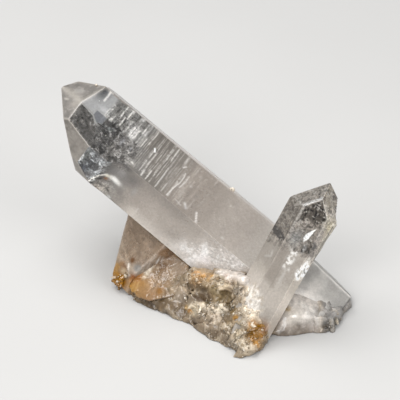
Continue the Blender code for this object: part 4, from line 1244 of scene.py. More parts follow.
matt = 0.22 + 0.03 * np.abs(fine)
crystal_piece("stained_crystal", STAINED_POINT, stained_grid, stained_tip, centre_grid[-1, 0],
              rock_crystal, colour, clarity, matt, np.full(spots.shape[:2], 0.15))

# %% [markdown]
# The foot is where the crystals started: quartz grains of a millimetre or two, grown into each
# other, broken underneath and rusty in places. It could be sculpted by hand or copied from the
# solid, whose faces are too coarse to carry grains. Here a field says how far outside the solid's
# blocks each place is. Roughness is taken from it, and the skin runs where it comes to nothing.

# %% The blocks of the foot
# Each block: the corners of its hull.
FOOT_BLOCKS = {
    "under_tip": [
        (-30, 11, -3), (-35, 17, -3), (-35, 30, -3), (-24, 39, -3), (-4, 41, -3), (-6, 8, -3), (-37, 15, 4),
        (-32, 23, 19), (-27, 34, 22), (-10, 37, 22), (-9, 13, 13), (-20, 15, 18),
    ],
    "belly": [
        (-38, 13, -3), (-34, 7, -3), (-30.6, 1, -3), (-23, -5, -3), (-12.5, -10.6, -3), (-6, 8, -3),
        (-28, 14, -3), (-30.5, 4, 4.5), (-25.4, 0.4, 4), (-17, -4, 5.6), (-10.9, -3.3, 10), (-12, 3, 12.6),
        (-15.5, 3.5, 10.7), (-21, 5, 7),
    ],
    "slope": [
        (-12.5, -10.6, -3), (-8, -16, -3), (-3, -20.8, -3), (1.3, -24, -3), (4.3, -28.4, -3), (10, -16, -3),
        (0, 5, -3), (-12, 5, -3), (-4.6, -12, 8.2), (-0.8, -16, 6.8), (4, -22, 4.4), (7, -26, 3.2),
        (-11, -4.4, 9.4), (1, -10, 9.4), (7, -14, 10),
    ],
    "middle": [
        (-12, 3, 12.4), (-9, 2.6, 13.6), (-4.5, -2, 12.4), (-1.5, -3, 13), (5.6, -7, 13.8),
        (3.5, -2.6, 15.6), (10, -4.4, 18.2), (12, 0, 17.6), (8.5, -9.8, 15), (0, -8.6, 9), (-10, 12, 14),
        (12, 16, 14), (-12, -4, -3), (12, -10, -3), (12, 20, -3), (-12, 20, -3),
    ],
    "toe": [
        (4, -28, -3), (8.3, -31.8, -3), (12.9, -28.8, -3), (17.6, -26, -3), (20.4, -19.5, -3), (6, -10, -3),
        (18, -10, -3), (11.3, -26.8, 3.4), (17, -24.6, 4.4), (16.6, -21.8, 10.2), (15.4, -18.6, 15.6),
        (10.5, -19, 14.6), (8.6, -10.4, 15), (10.2, -22, 8.6), (7, -26.8, 3.2), (12, -10, 18.5),
    ],
    "root": [
        (19, -19.4, -3), (31, -19, -3), (37.4, -17.4, -3), (38, -13, -3), (46, 4, -3), (34, 22, -3),
        (19, 22, -3), (25.3, -17.4, 2.6), (31, -13.8, 6.4), (27, -11.6, 9.2), (36, -11.6, 6.6),
        (23, -8, 13), (44, -2, 5),
    ],
    "heel": [
        (39.6, -15.8, -3), (42.6, -14.4, -3), (46.6, -10.6, -3), (49.2, -3, -3), (51, 0, -3), (48, 3, -3),
        (40, -8, -3), (40.6, -13.4, 1.8), (44.2, -9.4, 3.4), (47.8, -6.2, 3.2), (50.6, -0.6, 4.2),
    ],
}
# Each stretched ball: its centre, then its radii.
HOLLOWS = np.reshape([
    (2.2, -9, 11.6, 3.7, 2.7, 2.4), (-6, -7.6, 10.4, 2.2, 2.1, 2.2), (-3, -9.9, 9.6, 0.9, 1, 0.9),
    (0.7, -11.8, 9.6, 0.8, 0.9, 0.9), (-0.6, -12.4, 8.8, 0.7, 0.9, 0.7), (7.8, -21.6, 7.6, 1.7, 1.7, 1.5),
    (-17.6, -5.4, 6.6, 2, 1.8, 1.6), (38.4, -17.8, 1.4, 0.8, 2, 1.6),
], (-1, 2, 3))


def hull_planes(corners):
    """Every three corners span a plane; those with all the other corners behind them are the hull's."""
    corners = np.array(corners, float)
    triples = all_triples(len(corners))
    a, b, c = (corners[triples[:, k]] for k in range(3))
    normals = np.cross(b - a, c - a)
    size = np.linalg.norm(normals, axis=1)
    sound = size > 1e-6
    normals = normals[sound] / size[sound][:, None]
    offsets = np.einsum("ij,ij->i", normals, a[sound])
    signed = corners @ normals.T - offsets
    behind = (signed <= 1e-6).all(axis=0)
    ahead = (signed >= -1e-6).all(axis=0)
    found = np.concatenate([np.c_[normals[behind], offsets[behind]], -np.c_[normals[ahead], offsets[ahead]]])
    found = np.unique(np.round(found, 5), axis=0)
    return found[:, :3], found[:, 3]


print("foot blocks:", {name: len(hull_planes(corners)[0]) for name, corners in FOOT_BLOCKS.items()})

# %% [markdown]
# The foot is too rough for rays from one middle, because it has hollows and overhangs. A field in
# space is negative inside it and positive outside, and the skin is drawn where it passes zero. So
# blocks, chips and knobs grow together with soft seams, hollows are cut from them, and roughness
# can push the skin in or out.

# %% A closed skin round a field in space
def skin_of(field, low, size):
    """The zero surface of a field on a cubic lattice, negative inside. Each cell that the surface
    passes through gets one point, the mean of the crossings on its edges; each lattice edge that it
    crosses gets one quad, between the four cells round that edge."""
    cells = tuple(count - 1 for count in field.shape)
    total, hits = np.zeros(cells + (3,)), np.zeros(cells)
    edges = []
    for axis in range(3):
        start = field[tuple(slice(None, -1) if k == axis else slice(None) for k in range(3))]
        end = field[tuple(slice(1, None) if k == axis else slice(None) for k in range(3))]
        crossed = (start < 0) != (end < 0)
        where = np.argwhere(crossed)
        place = where.astype(float)
        place[:, axis] += start[crossed] / (start[crossed] - end[crossed])
        others = [(axis + 1) % 3, (axis + 2) % 3]
        for back in np.ndindex(2, 2):
            cell = where.copy()
            cell[:, others[0]] -= back[0]
            cell[:, others[1]] -= back[1]
            np.add.at(total, tuple(cell.T), place)
            np.add.at(hits, tuple(cell.T), 1.0)
        edges.append((where, others, start[crossed] < 0))
    number = np.full(cells, -1)
    touched = hits > 0
    number[touched] = np.arange(touched.sum())
    quads = []
    for where, others, outwards in edges:
        round_edge = []
        for back in ((1, 1), (0, 1), (0, 0), (1, 0)):
            cell = where.copy()
            cell[:, others[0]] -= back[0]
            cell[:, others[1]] -= back[1]
            round_edge.append(number[tuple(cell.T)])
        quad = np.stack(round_edge, axis=-1)
        quads.append(np.where(outwards[:, None], quad, quad[:, ::-1]))
    return low + size * total[touched] / hits[touched][:, None], np.concatenate(quads)


# Each chip: the corners of its hull.
FOOT_CHIPS = {
    "ridge": [
        (1.4, -18.4, 6.2), (5.5, -17, 10.2), (10.8, -22.4, 8.4), (2, -13, 4), (11, -17, 5), (6, -20.6, 5.2),
    ],
    "ledge": [
        (-2.4, -3.6, 12.6), (1.6, -6, 13.2), (5.8, -7.8, 13.6), (6.4, -4, 16), (0.4, -1, 15.4),
        (-2, -1, 14.4), (0, 0, 11), (5, -4, 11),
    ],
    "block": [
        (7.2, -10.6, 13.4), (9.6, -11.4, 13.8), (10.4, -8.6, 16.6), (7.4, -8, 16), (9, -6, 12),
        (11, -9, 12),
    ],
    "left_chip": [
        (-34.9, 9, 6.4), (-34.6, 9.6, 10.2), (-32.8, 10.6, 7.2), (-35.6, 12, 6.4), (-33.4, 12, 6),
    ],
    "bridge": [
        (5, -12, 4), (5.4, -11.4, 10.6), (8.6, -10.4, 15), (10.5, -19, 14.8), (7, -16, 10.8), (11, -12, 4),
        (12, -9, 15), (7, -20, 8),
    ],
    "toe_slope": [
        (5, -17, 9.4), (10.8, -23, 8.8), (10, -27, 4), (5.6, -23, 4.4), (11, -19, 13.4), (13, -24, 6),
        (12, -18, 4),
    ],
    "heel_chips": [
        (36.6, -16.6, 0), (39.4, -16.2, 0), (43.6, -14.8, 0), (47, -10.4, 0), (36.8, -14, 5.2),
        (40, -13.2, 5.2), (43, -12.2, 4.8), (46.8, -8.6, 4.6), (41, -8, 2), (45, -5, 2),
    ],
    "toe_end": [
        (6.9, -29.4, 0), (8.6, -30.6, 0), (10.4, -29.6, 0), (8.4, -29.6, 2), (8, -25, 2), (10.6, -26, 2),
        (7, -25, 0),
    ],
}
# Each knob of the foot: its centre, then its radii.
FOOT_KNOBS = np.reshape([
    (13.3, -21.8, 8.3, 1.5, 1.4, 1.6), (13.7, -26.6, 2.6, 1.4, 1.3, 1.4), (9.8, -25.4, 4.2, 1.8, 1.6, 1.9),
    (30.6, -12.6, 5, 5, 3.6, 3.6), (-5, -1.9, 12, 1.9, 1.8, 2.4), (-8.2, -0.4, 12.2, 1.8, 1.8, 2.2),
    (-37, 11.4, 3.8, 2.4, 2.8, 3), (10, -8.2, 18.4, 2.8, 2, 2.2),
], (-1, 2, 3))
# The corners of the stained wedge, which stands on the foot.
WEDGE = [
    (-34, 5.1, 5.2), (-31.2, 9.1, 9), (-26.2, 13.6, 13.8), (-20.9, 14, 16.8), (-14.8, 11.4, 16.6),
    (-10.4, 7.6, 15.6), (-11.3, -0.3, 9.7), (-17, -2.4, 6.1), (-21.6, -2.5, 4.8), (-26.2, -1.2, 3.4),
    (-30.9, 1.6, 2.7), (-22, 14, 2), (-14, 12, 4),
]
CELL = 0.48
BLEND = 0.55
field_low = np.array((-42.0, -33.0, -1.2))
field_count = np.ceil((np.array((54.0, 44.0, 25.0)) - field_low) / CELL).astype(int)
axes_of_field = [field_low[k] + CELL * np.arange(field_count[k]) for k in range(3)]
gx, gy, gz = np.meshgrid(*axes_of_field, indexing="ij", sparse=True)


def hull_field(corners):
    """How far outside the farthest face plane of the hull each lattice point lies."""
    outside = np.full(tuple(field_count), -1e3)
    for normal, offset in zip(*hull_planes(corners)):
        outside = np.maximum(outside, normal[0] * gx + normal[1] * gy + normal[2] * gz - offset)
    return outside


def ball_field(centre, radii):
    """Roughly how far outside a stretched ball each lattice point lies."""
    squares = [((line - middle) / radius) ** 2 for line, middle, radius in zip((gx, gy, gz), centre, radii)]
    return (np.sqrt(squares[0] + squares[1] + squares[2]) - 1.0) * min(radii)


# Bodies grow together: the soft minimum fills the grooves between them by about half a millimetre.
grown = np.zeros(tuple(field_count))
for corners in [*FOOT_BLOCKS.values(), *FOOT_CHIPS.values()]:
    grown += np.exp(np.clip(-hull_field(corners) / BLEND, -60.0, 60.0))
for centre, radii in FOOT_KNOBS:
    grown += np.exp(np.clip(-ball_field(centre, radii) / BLEND, -60.0, 60.0))
smooth_field = -BLEND * np.log(np.maximum(grown, 1e-25))
for centre, radii in HOLLOWS:
    smooth_field = np.maximum(smooth_field, -ball_field(centre, radii))
print("lattice of the foot:", tuple(int(count) for count in field_count))

# %% [markdown]
# The foot is a mass of small crystals that stopped each other's growth, so it is all tilted faces,
# which catch the light one by one. Facets of two sizes tilt its skin, the smaller ones most in the
# granular places, where small round grains stand out as well.

# %% The skin of the foot
# Each granular place: its centre and its radii.
GRANULAR = np.reshape([
    (2, -12, 9, 9, 6, 4), (9, -24, 5, 6, 6, 5), (13, -18, 14, 4, 5, 6), (-8, -9, 6, 5, 5, 3),
    (-36, 9, 4, 5, 5, 4), (1, -6, 12, 6, 3, 2), (43, -12, 2, 4, 4, 3), (-14, 38, 10, 14, 5, 9),
    (-34, 26, 9, 5, 9, 8), (30, 20, 6, 12, 6, 6),
], (-1, 2, 3))


BROAD_FACETS, SMALL_FACETS = (4.6, 611), (2.3, 613)
PIT_PLACE = (-6.0, -6.8, 9.4)


def granular_zone(points):
    """1 where the foot is made of grains, 0 where it is a smooth broken face."""
    zone = np.zeros(points.shape[:-1])
    for centre, radius in GRANULAR:
        zone = np.maximum(zone, near(points, centre, radius))
    return zone


def milky_root(points):
    """1 on the smooth cloud lump at the long crystal's end, and where its root runs out into the foot."""
    lump = between(points[..., 0], 20.0, 24.0, 37.0, 40.0) * (1 - step(points[..., 1], 0.0, 4.0))
    root = sum(near(points, centre, radii) for centre, radii in (
        ((0.5, 0.0, 18.2), (5.0, 3.4, 2.6)), ((6.0, -3.4, 18.4), (5.0, 3.6, 2.8)),
        ((11.0, -8.0, 19.6), (4.0, 3.4, 3.2))))
    return np.maximum(lump, step(root, 0.25, 0.70))


def roughness_of_foot(points):
    """How far the skin stands out: slow swells, tilted facets of two sizes, and round grains in the zones."""
    zone = granular_zone(points)
    calm = (1 - 0.85 * milky_root(points)) * (1 - 0.8 * near(points, PIT_PLACE, 3.2))
    broad_facets = facets(points, *BROAD_FACETS)[0]
    small_facets = facets(points, *SMALL_FACETS)[0]
    grain = 0.5 - cell_noise(points, 1.6, 401)[0]
    swell = 0.35 * mottle(points, 6.0, 411) + 1.1 * broad_facets + 0.8 * (0.25 + 0.75 * zone) * small_facets
    return (swell + zone * 0.55 * grain + 0.05 * mottle(points, 1.4, 413)) * calm


ROUGH_REACH = 3.2
lattice_places = np.argwhere(np.abs(smooth_field) < ROUGH_REACH)
places = field_low + CELL * lattice_places
rough_field = smooth_field.copy()
rough_field[tuple(lattice_places.T)] -= roughness_of_foot(places)
# Next to the stained wedge it keeps back, so nothing pokes through.
rough_field += 1.3 * (1 - step(hull_field(WEDGE), 0.0, 1.4)) * (1 - step(gx, -22.0, -17.0))
rough_field = np.maximum(rough_field, -gz)
OUTSIDE = 5.0
rough_field[[0, -1]] = rough_field[:, [0, -1]] = rough_field[:, :, [0, -1]] = OUTSIDE
foot_skin, foot_quads = skin_of(rough_field, field_low, CELL)
foot_skin[:, 2] = np.maximum(foot_skin[:, 2], 0.0)


def read_field(values, points):
    """The lattice values at points between, blended from the eight corners round each."""
    spot = (points - field_low) / CELL
    low = np.clip(np.floor(spot).astype(int), 0, np.array(values.shape) - 2)
    return blended(spot - low, lambda corner: values[tuple((low + corner).T)])


raised = read_field(smooth_field, foot_skin)
granular = granular_zone(foot_skin)
smooth_root = milky_root(foot_skin)
glassy = np.maximum(smooth_root, step(foot_skin[:, 0], 37.0, 41.0))
print("foot skin:", len(foot_skin), "points", foot_skin.min(axis=0).round(1), foot_skin.max(axis=0).round(1))

# %% [markdown]
# Iron-rich water left orange and brown oxide in the clefts and along the rims, and the youngest
# grains are snow-white. The places are given in the frame of the specimen, each with its radius.

# %% Colours of the foot
# Each stain: its centre, its radius, its colour and its strength.
# Some are painted shade, not stains: the dark spots low at the front of the belly, in the small pits and in
# the olive hollow.
STAINS = [
    (-39.7, 12.8, 4.1, 3.6, "#a5760f", 1), (-38, 8.9, 4.1, 3.4, "#95690a", 1),
    (-35.6, 7.5, 1.8, 2.6, "#bd8a45", 0.9), (-32.8, 7, 8.1, 1.5, "#9a5d14", 1),
    (-33.9, 5.1, 5.2, 1.9, "#c48d42", 0.9), (-32.5, 11.9, 13, 0.9, "#7d5230", 0.9),
    (-36.8, 12.7, 9.5, 1.6, "#8f6a42", 0.7), (-34.3, 7.7, 9.5, 1.3, "#d9d3c8", 0.9),
    (-30.5, 8.7, 11.6, 1.6, "#8b8985", 0.7), (-25.4, -1.5, 0.2, 5, "#554738", 0.8),
    (-21.6, -3.1, 3.9, 4, "#6d604f", 0.8), (-30.9, 2.9, 0.6, 3, "#8a7a64", 0.6),
    (-13.9, -3.7, 7.3, 2.8, "#a09890", 0.7), (-12.1, -1.9, 10.7, 2.6, "#8f8477", 0.6),
    (-10.9, -5.5, 8.2, 1.8, "#8b847b", 0.6), (-7.2, 0.2, 13.8, 2.4, "#c9a87e", 0.9),
    (-9.4, -1.2, 13.4, 1.6, "#bda07c", 0.9), (-2.3, -2.1, 15.5, 1.3, "#cf9c40", 0.9),
    (3.3, -2.4, 17.2, 1.1, "#8a694c", 0.9), (5.9, -4.9, 16.7, 2.2, "#aea092", 0.8),
    (1.8, -6.7, 14.8, 1.5, "#c2b5a2", 0.8), (-3.8, -3.8, 12.1, 1.6, "#a89679", 0.7),
    (1.9, -6.4, 10.3, 3, "#8b7c5e", 0.9), (-1.2, -5.5, 12, 1.6, "#7d7154", 0.7),
    (5.6, -8.3, 10.4, 1.8, "#85775c", 0.8), (8.5, -9.7, 14.9, 2, "#8e8983", 0.8),
    (8.4, -14.9, 12.4, 2.4, "#b8ad9c", 0.7), (12.7, -14.5, 19.1, 4.4, "#dbd3cb", 0.9),
    (13.4, -18.6, 16.2, 4, "#e6dfd6", 0.95), (12, -20.8, 12.4, 3.4, "#e4ddd2", 0.9),
    (16.4, -19.9, 14, 3, "#ddd5cb", 0.9), (-6, -6.2, 8.8, 2.6, "#53453a", 1),
    (-3, -9.2, 9.2, 0.8, "#35312b", 1), (0.7, -9.4, 9.4, 0.9, "#3a352c", 0.9),
    (-0.4, -11.5, 9.6, 0.7, "#34302a", 1), (2.1, -14.9, 8.6, 1, "#4a4334", 0.8),
    (5.5, -14, 10.2, 1.2, "#554b39", 0.8), (-5.7, -11.6, 7.8, 2.2, "#e0d9cd", 0.9),
    (-8.4, -9.8, 6.2, 2.2, "#ddd5c6", 0.85), (0.3, -13, 9.4, 2, "#d6d1c7", 0.85),
    (-9.4, -9.4, 5.1, 2, "#bdb5a2", 0.8), (-11.7, -7.1, 4.7, 1, "#b08f47", 0.8),
    (6.5, -24.6, 6, 2.8, "#c9c1b2", 0.85), (4, -19.6, 6.2, 1.4, "#a39a88", 0.7),
    (9.4, -27.1, 3.3, 2.4, "#b3ab9d", 0.85), (14.2, -24.2, 7.1, 3.4, "#795602", 1),
    (12.7, -21.9, 9.9, 1.3, "#b98338", 0.85), (14.9, -25.6, 3.5, 2.8, "#a87508", 1),
    (16.8, -23.3, 7.3, 1.3, "#96672f", 0.8), (32.3, -13.5, 8.4, 4.4, "#f0ebe4", 0.95),
    (28.9, -15.4, 6.6, 3.4, "#ddd8d0", 0.9), (36.2, -13.2, 3.8, 3.4, "#dcd8d3", 0.9),
    (26.4, -12.1, 8.2, 1, "#a88d55", 0.8), (35.5, -15.7, 0.1, 3, "#b9afa6", 0.8),
    (42.4, -13, 1.7, 3.6, "#6b6965", 0.9), (31, -17.5, 1, 3.4, "#857b71", 0.9),
    (25.6, -18, 0.8, 3, "#857b71", 0.9), (-1.5, -3.2, 14.4, 0.9, "#e3dac9", 0.8),
    (1, -4.4, 14.3, 0.9, "#e6dccb", 0.8), (3.4, -6, 14.6, 0.9, "#e3d8c5", 0.8),
    (-3.8, -9.4, 9, 1.3, "#4e4428", 0.8), (5.8, -15.4, 9.4, 1.5, "#57461e", 0.95),
    (6.9, -18.8, 9.3, 1, "#b98c3c", 0.9), (-10.2, -8.7, 4.5, 1, "#a8782a", 0.9),
    (-0.8, -16.2, 6.3, 2.6, "#b8afa4", 0.8), (4, -11.7, 9.3, 1.4, "#6d6248", 0.8),
    (-4.5, -13.9, 5.3, 2.6, "#a3988a", 0.7), (8.3, -21.8, 8.5, 1.8, "#8d8474", 0.8),
    (5.7, -26.4, 2.7, 2.2, "#9b948a", 0.8), (-13.6, -1.8, 9.1, 2.4, "#9d9184", 0.7),
    (-11.7, -5.5, 7.3, 2, "#887b6c", 0.7), (10.5, -28.2, 1.9, 1.8, "#a79d8d", 0.8),
    (-5.3, -0.5, 14.8, 1.2, "#cda26a", 0.9), (-3, 0.6, 15.9, 1, "#d39a3a", 0.8),
    (-7.9, 1.4, 14.3, 1.4, "#c39d70", 0.9), (-8.3, -12.8, 1.1, 4, "#75685a", 0.7),
    (-2.7, -17.9, 1.9, 4, "#7d7164", 0.7), (1.7, -22.5, 1.9, 3.4, "#7b7064", 0.7),
    (11.2, -27.9, 1.6, 2.4, "#988b76", 0.6), (16.5, -25, 2.1, 2.6, "#b5a892", 0.6),
    (19.6, -20.2, 2.4, 3, "#b0a79c", 0.6),
]
print("stains:", len(STAINS))


def foot_colours(points):
    """Beige quartz with painted shade on the overhanging belly and the underside, a change of tone from grain
    to grain, then every stain in its place.
    """
    broad = mottle(points, 7.0, 431)
    fine = mottle(points, 1.4, 433)
    # Painted shade: the overhanging belly is darkened.
    belly = np.clip(near(points, (-19.0, -3.0, 3.0), (13.0, 6.0, 4.0)) * 1.4, 0, 1)
    colour = tint(linear("#8d7f6c"), belly * 0.8, "#6b5942")
    colour = tints(colour,
        (milky_root(points), "#cbc4bd"),
        (step(points[..., 0], 37.0, 41.0), "#8f8d8b"))
    colour = colour * (1 + 0.10 * broad + 0.08 * fine)[..., None]
    colour = stain(colour, points, STAINS, 1.5 * (1 + 0.25 * mottle(points, 1.8, 435)))
    # Painted shade darkens the underside, near the table.
    colour = tint(colour, (1 - step(points[..., 2], 0.4, 3.8)) * 0.5, "#5c5040")
    return np.clip(colour * (1 + 0.05 * fine)[..., None], 0.0, 1.0)


FOOT_LIGHT = np.array((0.86, 0.79, 0.69))
ROOT_LIGHT = np.array((0.81, 0.79, 0.77))
colour = foot_colours(foot_skin)
# Every facet has a tone of its own; raised grains are lightened and the gaps between them darkened brown,
# painted light and shade of the relief.
redness = colour[:, 0] / np.maximum(colour[:, 2], 1e-4)
clean = (1 - step(redness, 2.2, 5.0)) * (1 - near(foot_skin, PIT_PLACE, 3.0))
facet_tone = facets(foot_skin, *SMALL_FACETS)[1]
broad_tone, broad_gap = facets(foot_skin, *BROAD_FACETS)[1:]
change = 0.36 * (facet_tone - 0.5) + 0.16 * (broad_tone - 0.5)
colour = colour * (1 + change * (1 - 0.7 * smooth_root))[:, None]
worn = (1 - 0.85 * smooth_root) * (foot_skin[:, 2] > 0.05)
grained = worn * (0.25 + 0.75 * granular)
rims = worn * (1 - step(broad_gap, 0.0, 0.06)) * step(mottle(foot_skin, 3.0, 447), -0.2, 0.8)
colour = tints(colour,
    (grained * step(raised, 0.15, 0.9) * 0.8 * clean * (1 - 0.7 * glassy), "#eee7db"),
    (grained * step(-raised, 0.35, 1.1) * 0.8, "#5b4a30"),
    (rims * 0.5 * clean, "#ddd3c3"))
colour = colour * (FOOT_LIGHT + glassy[:, None] * (ROOT_LIGHT - FOOT_LIGHT))
clearness = 0.06 + 0.12 * (1 - granular) * step(mottle(foot_skin, 5.0, 443), -0.5, 1.3)
mattness = 0.24 + 0.15 * granular - 0.06 * smooth_root

# %% [markdown]
# Granular quartz is many small glassy faces at all angles, so it looks rougher than it is: each
# grain still glints. Bump in two sizes gives the grain faces and the fine sugar on them.

# %% Material: granular, iron-stained quartz
granular_quartz = crystal_material("granular_quartz_iron_stained", 0.15, 0.30, 0.7, 0.9, cells=True)
broken_quartz = crystal_material("broken_quartz_peach_to_orange", 0.20, 0.12, 1.1, 0.4)
mesh_piece("granular_foot", foot_skin, foot_quads, np.zeros((0, 3), int), granular_quartz,
           {"quartz_colour": np.clip(colour, 0, 1), "clearness": clearness, "mattness": mattness,
            "graininess": (0.12 + 0.5 * granular) * (1 - 0.85 * glassy),
            "speckle": 0.1 + 0.3 * granular})

# %% [markdown]
# The stained wedge stands on the foot at the left: a broken piece of crystal in its own right, peach to
# orange and lined along its length. It is a ball of rays from its middle that stop at the faces round
# its corners.

# %% The stained wedge
def ball_rays(rows, columns):
    """Directions of a ball's grid: its poles, and between them rows down it and columns round it."""
    polar = ((np.arange(rows) + 0.5) / rows * math.pi)[:, None]
    turn = np.arange(columns) / columns * 2 * math.pi
    grid = stacked(np.sin(polar) * np.cos(turn), np.sin(polar) * np.sin(turn), np.cos(polar))
    return np.concatenate([[[0.0, 0.0, 1.0]], grid.reshape(-1, 3), [[0.0, 0.0, -1.0]]])


def fragment(corners, rows, columns):
    """Points of a fragment between its poles: rays from its middle to the hull's faces, roughened."""
    normals, offsets = hull_planes(corners)
    normals = np.concatenate([normals, [[0.0, 0.0, -1.0]]])
    offsets = np.concatenate([offsets, [0.0]])
    middle = np.mean(corners, axis=0)
    rays = ball_rays(rows, columns)
    centres = np.repeat(middle[None], len(rays), axis=0)
    reach, _ = first_meeting(centres, rays, normals, offsets)
    places = centres + rays * reach[:, None]
    reach = reach + 0.14 * mottle(places, 3.0, 501) + 0.05 * mottle(places, 0.9, 503)
    reach = reach + 0.60 * facets(places, 3.4, 505)[0]
    places = centres + rays * reach[:, None]
    places[:, 2] = np.maximum(places[:, 2], 0.0)
    return places


WEDGE_GRID = (120, 200)
WEDGE_LIGHT = FOOT_LIGHT * 0.89
places = fragment(WEDGE, *WEDGE_GRID)
quads, triangles = closed_grid_faces(*WEDGE_GRID)
wedge_fine = mottle(places, 1.2, 513)
wedge_tone = linear("#9f8971") * (1 + 0.07 * mottle(places, 4.0, 511) + 0.05 * wedge_fine)[:, None]
# Growth lines run down its length, as on the striated side.
along = places @ np.array([0.52, 0.52, 0.68])
beside = places @ np.array([0.80, -0.57, -0.15])
hatch = mottle(stacked(along * 0.14, beside, 0.0), 0.9, 515, layers=2)
wedge_tone = wedge_tone * (1 + 0.09 * hatch)[:, None]
wedge_tone = stain(wedge_tone, places, [
    (-32.8, 4.8, 5.4, 3.6, "#b58c40", 1), (-29.3, 4.5, 6.6, 3.2, "#b8925c", 0.8),
    (-30.5, 7.1, 8.5, 2.2, "#a87438", 0.9), (-28.1, 1.3, 4.8, 3, "#ab8a62", 0.8),
    (-21.6, 0.5, 6.8, 1.3, "#9a7030", 0.9), (-19.4, 9.4, 14, 3.6, "#84674c", 0.9),
    (-25, 9, 11.6, 2.6, "#9c8873", 0.8), (-15.5, 6.8, 13, 3.4, "#9b8c7d", 0.8),
    (-14, 2, 10.8, 3.6, "#a1917f", 0.8), (-17.9, 5.2, 11.2, 2.2, "#b3a08c", 0.6),
    (-13, -1.6, 8.8, 3, "#8e8274", 0.7),
], 1.3, limit=1.3)
wedge_tone = streak(wedge_tone, places, [
    (-29.1, 9.3, 9.9, -31.8, 8.7, 8.6, 0.5, "#f4ede2", 0.9),
    (-31, 6.2, 7.6, -33.2, 3.4, 4.4, 0.35, "#e0c08c", 0.7),
    (-29.6, 5.6, 7.4, -31.6, 2.6, 4, 0.3, "#dcbc8a", 0.6),
    (-18, 1, 8.4, -22.6, -1.6, 5, 0.5, "#c9b69c", 0.6),
])
# The small near-white spots along its middle are painted glints.
wedge_tone = stain(wedge_tone, places, [
    (-20.9, 9.2, 12.7, 1.8, "#6e5845", 0.7), (-23, 11.6, 13.5, 1, "#5d4936", 0.6),
    (-26.7, 7.8, 9.8, 1.1, "#f4eee4", 0.8), (-25.5, 8.8, 10.8, 0.8, "#fbf7ef", 0.9),
    (-24.2, 9.5, 11.6, 0.7, "#fbf7f0", 0.9), (-22.4, 8.5, 11.7, 0.6, "#efe7dc", 0.8),
    (-27.6, 6.5, 8.7, 0.8, "#e8dccb", 0.8), (-33, 7, 7.1, 1.2, "#7a4a0c", 0.95),
    (-31.1, 7.7, 8.2, 1, "#8a5814", 0.9), (-34, 6.2, 6.3, 0.8, "#4f3a10", 0.9),
    (-21.6, 0.1, 6.7, 1.3, "#946a2c", 0.8), (-24.8, -1, 4.8, 2.4, "#b08f70", 0.6),
], np.clip(1.4 + 0.5 * wedge_fine, 0, 2))
# Painted highlights along the top rim.
wedge_tone = streak(wedge_tone, places, [
    (-23.6, 12.5, 13.9, -18.8, 9.6, 13.7, 0.45, "#fffaf2", 0.95),
    (-23.2, 11, 13.2, -20.5, 9.4, 13.2, 0.3, "#e8dfd4", 0.7),
])
mesh_piece("stained_wedge", places, quads, triangles, broken_quartz,
           {"quartz_colour": np.clip(wedge_tone * WEDGE_LIGHT, 0, 1),
            "clearness": np.full(len(places), 0.25), "mattness": np.full(len(places), 0.13)})

# %% [markdown]
# Hundreds of little grains and a few small crystal points crowd the rims. Each is the same
# six-sided crystal with a point at each end, pushed out of shape, turned and stretched by its own
# random numbers, so one array makes them all, and flat facets let each one glint.

# %% Grains and little points
def inside_any(points, bodies):
    """How deep each point lies in the deepest of the convex bodies, negative outside all."""
    depth = np.full(len(points), -1e9)
    for normals, offsets in bodies:
        depth = np.maximum(depth, (offsets - points @ normals.T).min(axis=1))
    return depth


def body_of(point, frame_axes, faces):
    """Planes of a crystal in the frame of the specimen."""
    normals, distances = planes_of(frame_axes, faces)
    return normals, distances + normals @ point


CRYSTAL_BODIES = [
    body_of(MAIN_POINT, MAIN_AXES, MAIN_FACES), body_of(SECOND_POINT, SECOND_AXES, SECOND_FACES),
    body_of(STAINED_POINT, STAINED_AXES, STAINED_FACES), hull_planes(WEDGE),
]
skin = foot_skin
shown = (inside_any(skin, CRYSTAL_BODIES) < -0.1) & (skin[:, 2] > 0.3)
skin = skin[shown & (milky_root(skin) < 0.3)]
GRAIN_POINTS = 14
# Each zone: its centre, its spread and how many grains lie in it.
GRAIN_ZONES = [
    (13, -17, 14, 3.8, 3.6, 5, 60), (-2, -12, 8.5, 6.5, 3.4, 3, 120), (9, -24.5, 5, 5, 4, 3.4, 130),
    (2, -3, 15, 8, 3, 2.6, 60), (-35, 8.5, 4.5, 3.6, 3.8, 3.4, 60), (-27, 1, 1.5, 8, 4, 2.4, 8),
    (-12, -6, 6.5, 5.5, 4, 3.6, 24), (44, -13, 2, 3, 3, 1.8, 10), (8.5, -9, 15, 3, 3, 3, 36),
    (-14, 38, 10, 13, 5, 8, 160), (-34, 26, 9, 5, 9, 8, 120), (0, -18, 3, 6, 6, 3, 20),
    (30, 18, 6, 12, 6, 6, 120), (-7, 0.4, 13.6, 3.4, 2, 1.8, 70),
]
random = np.random.default_rng(23)
turns = np.arange(6) * math.pi / 3
ring = stacked(np.cos(turns), np.sin(turns), 0.0)
prism = np.concatenate([[[0, 0, 1.35]], ring + (0, 0, 0.6), ring - (0, 0, 0.6), [[0, 0, -1.35]]])
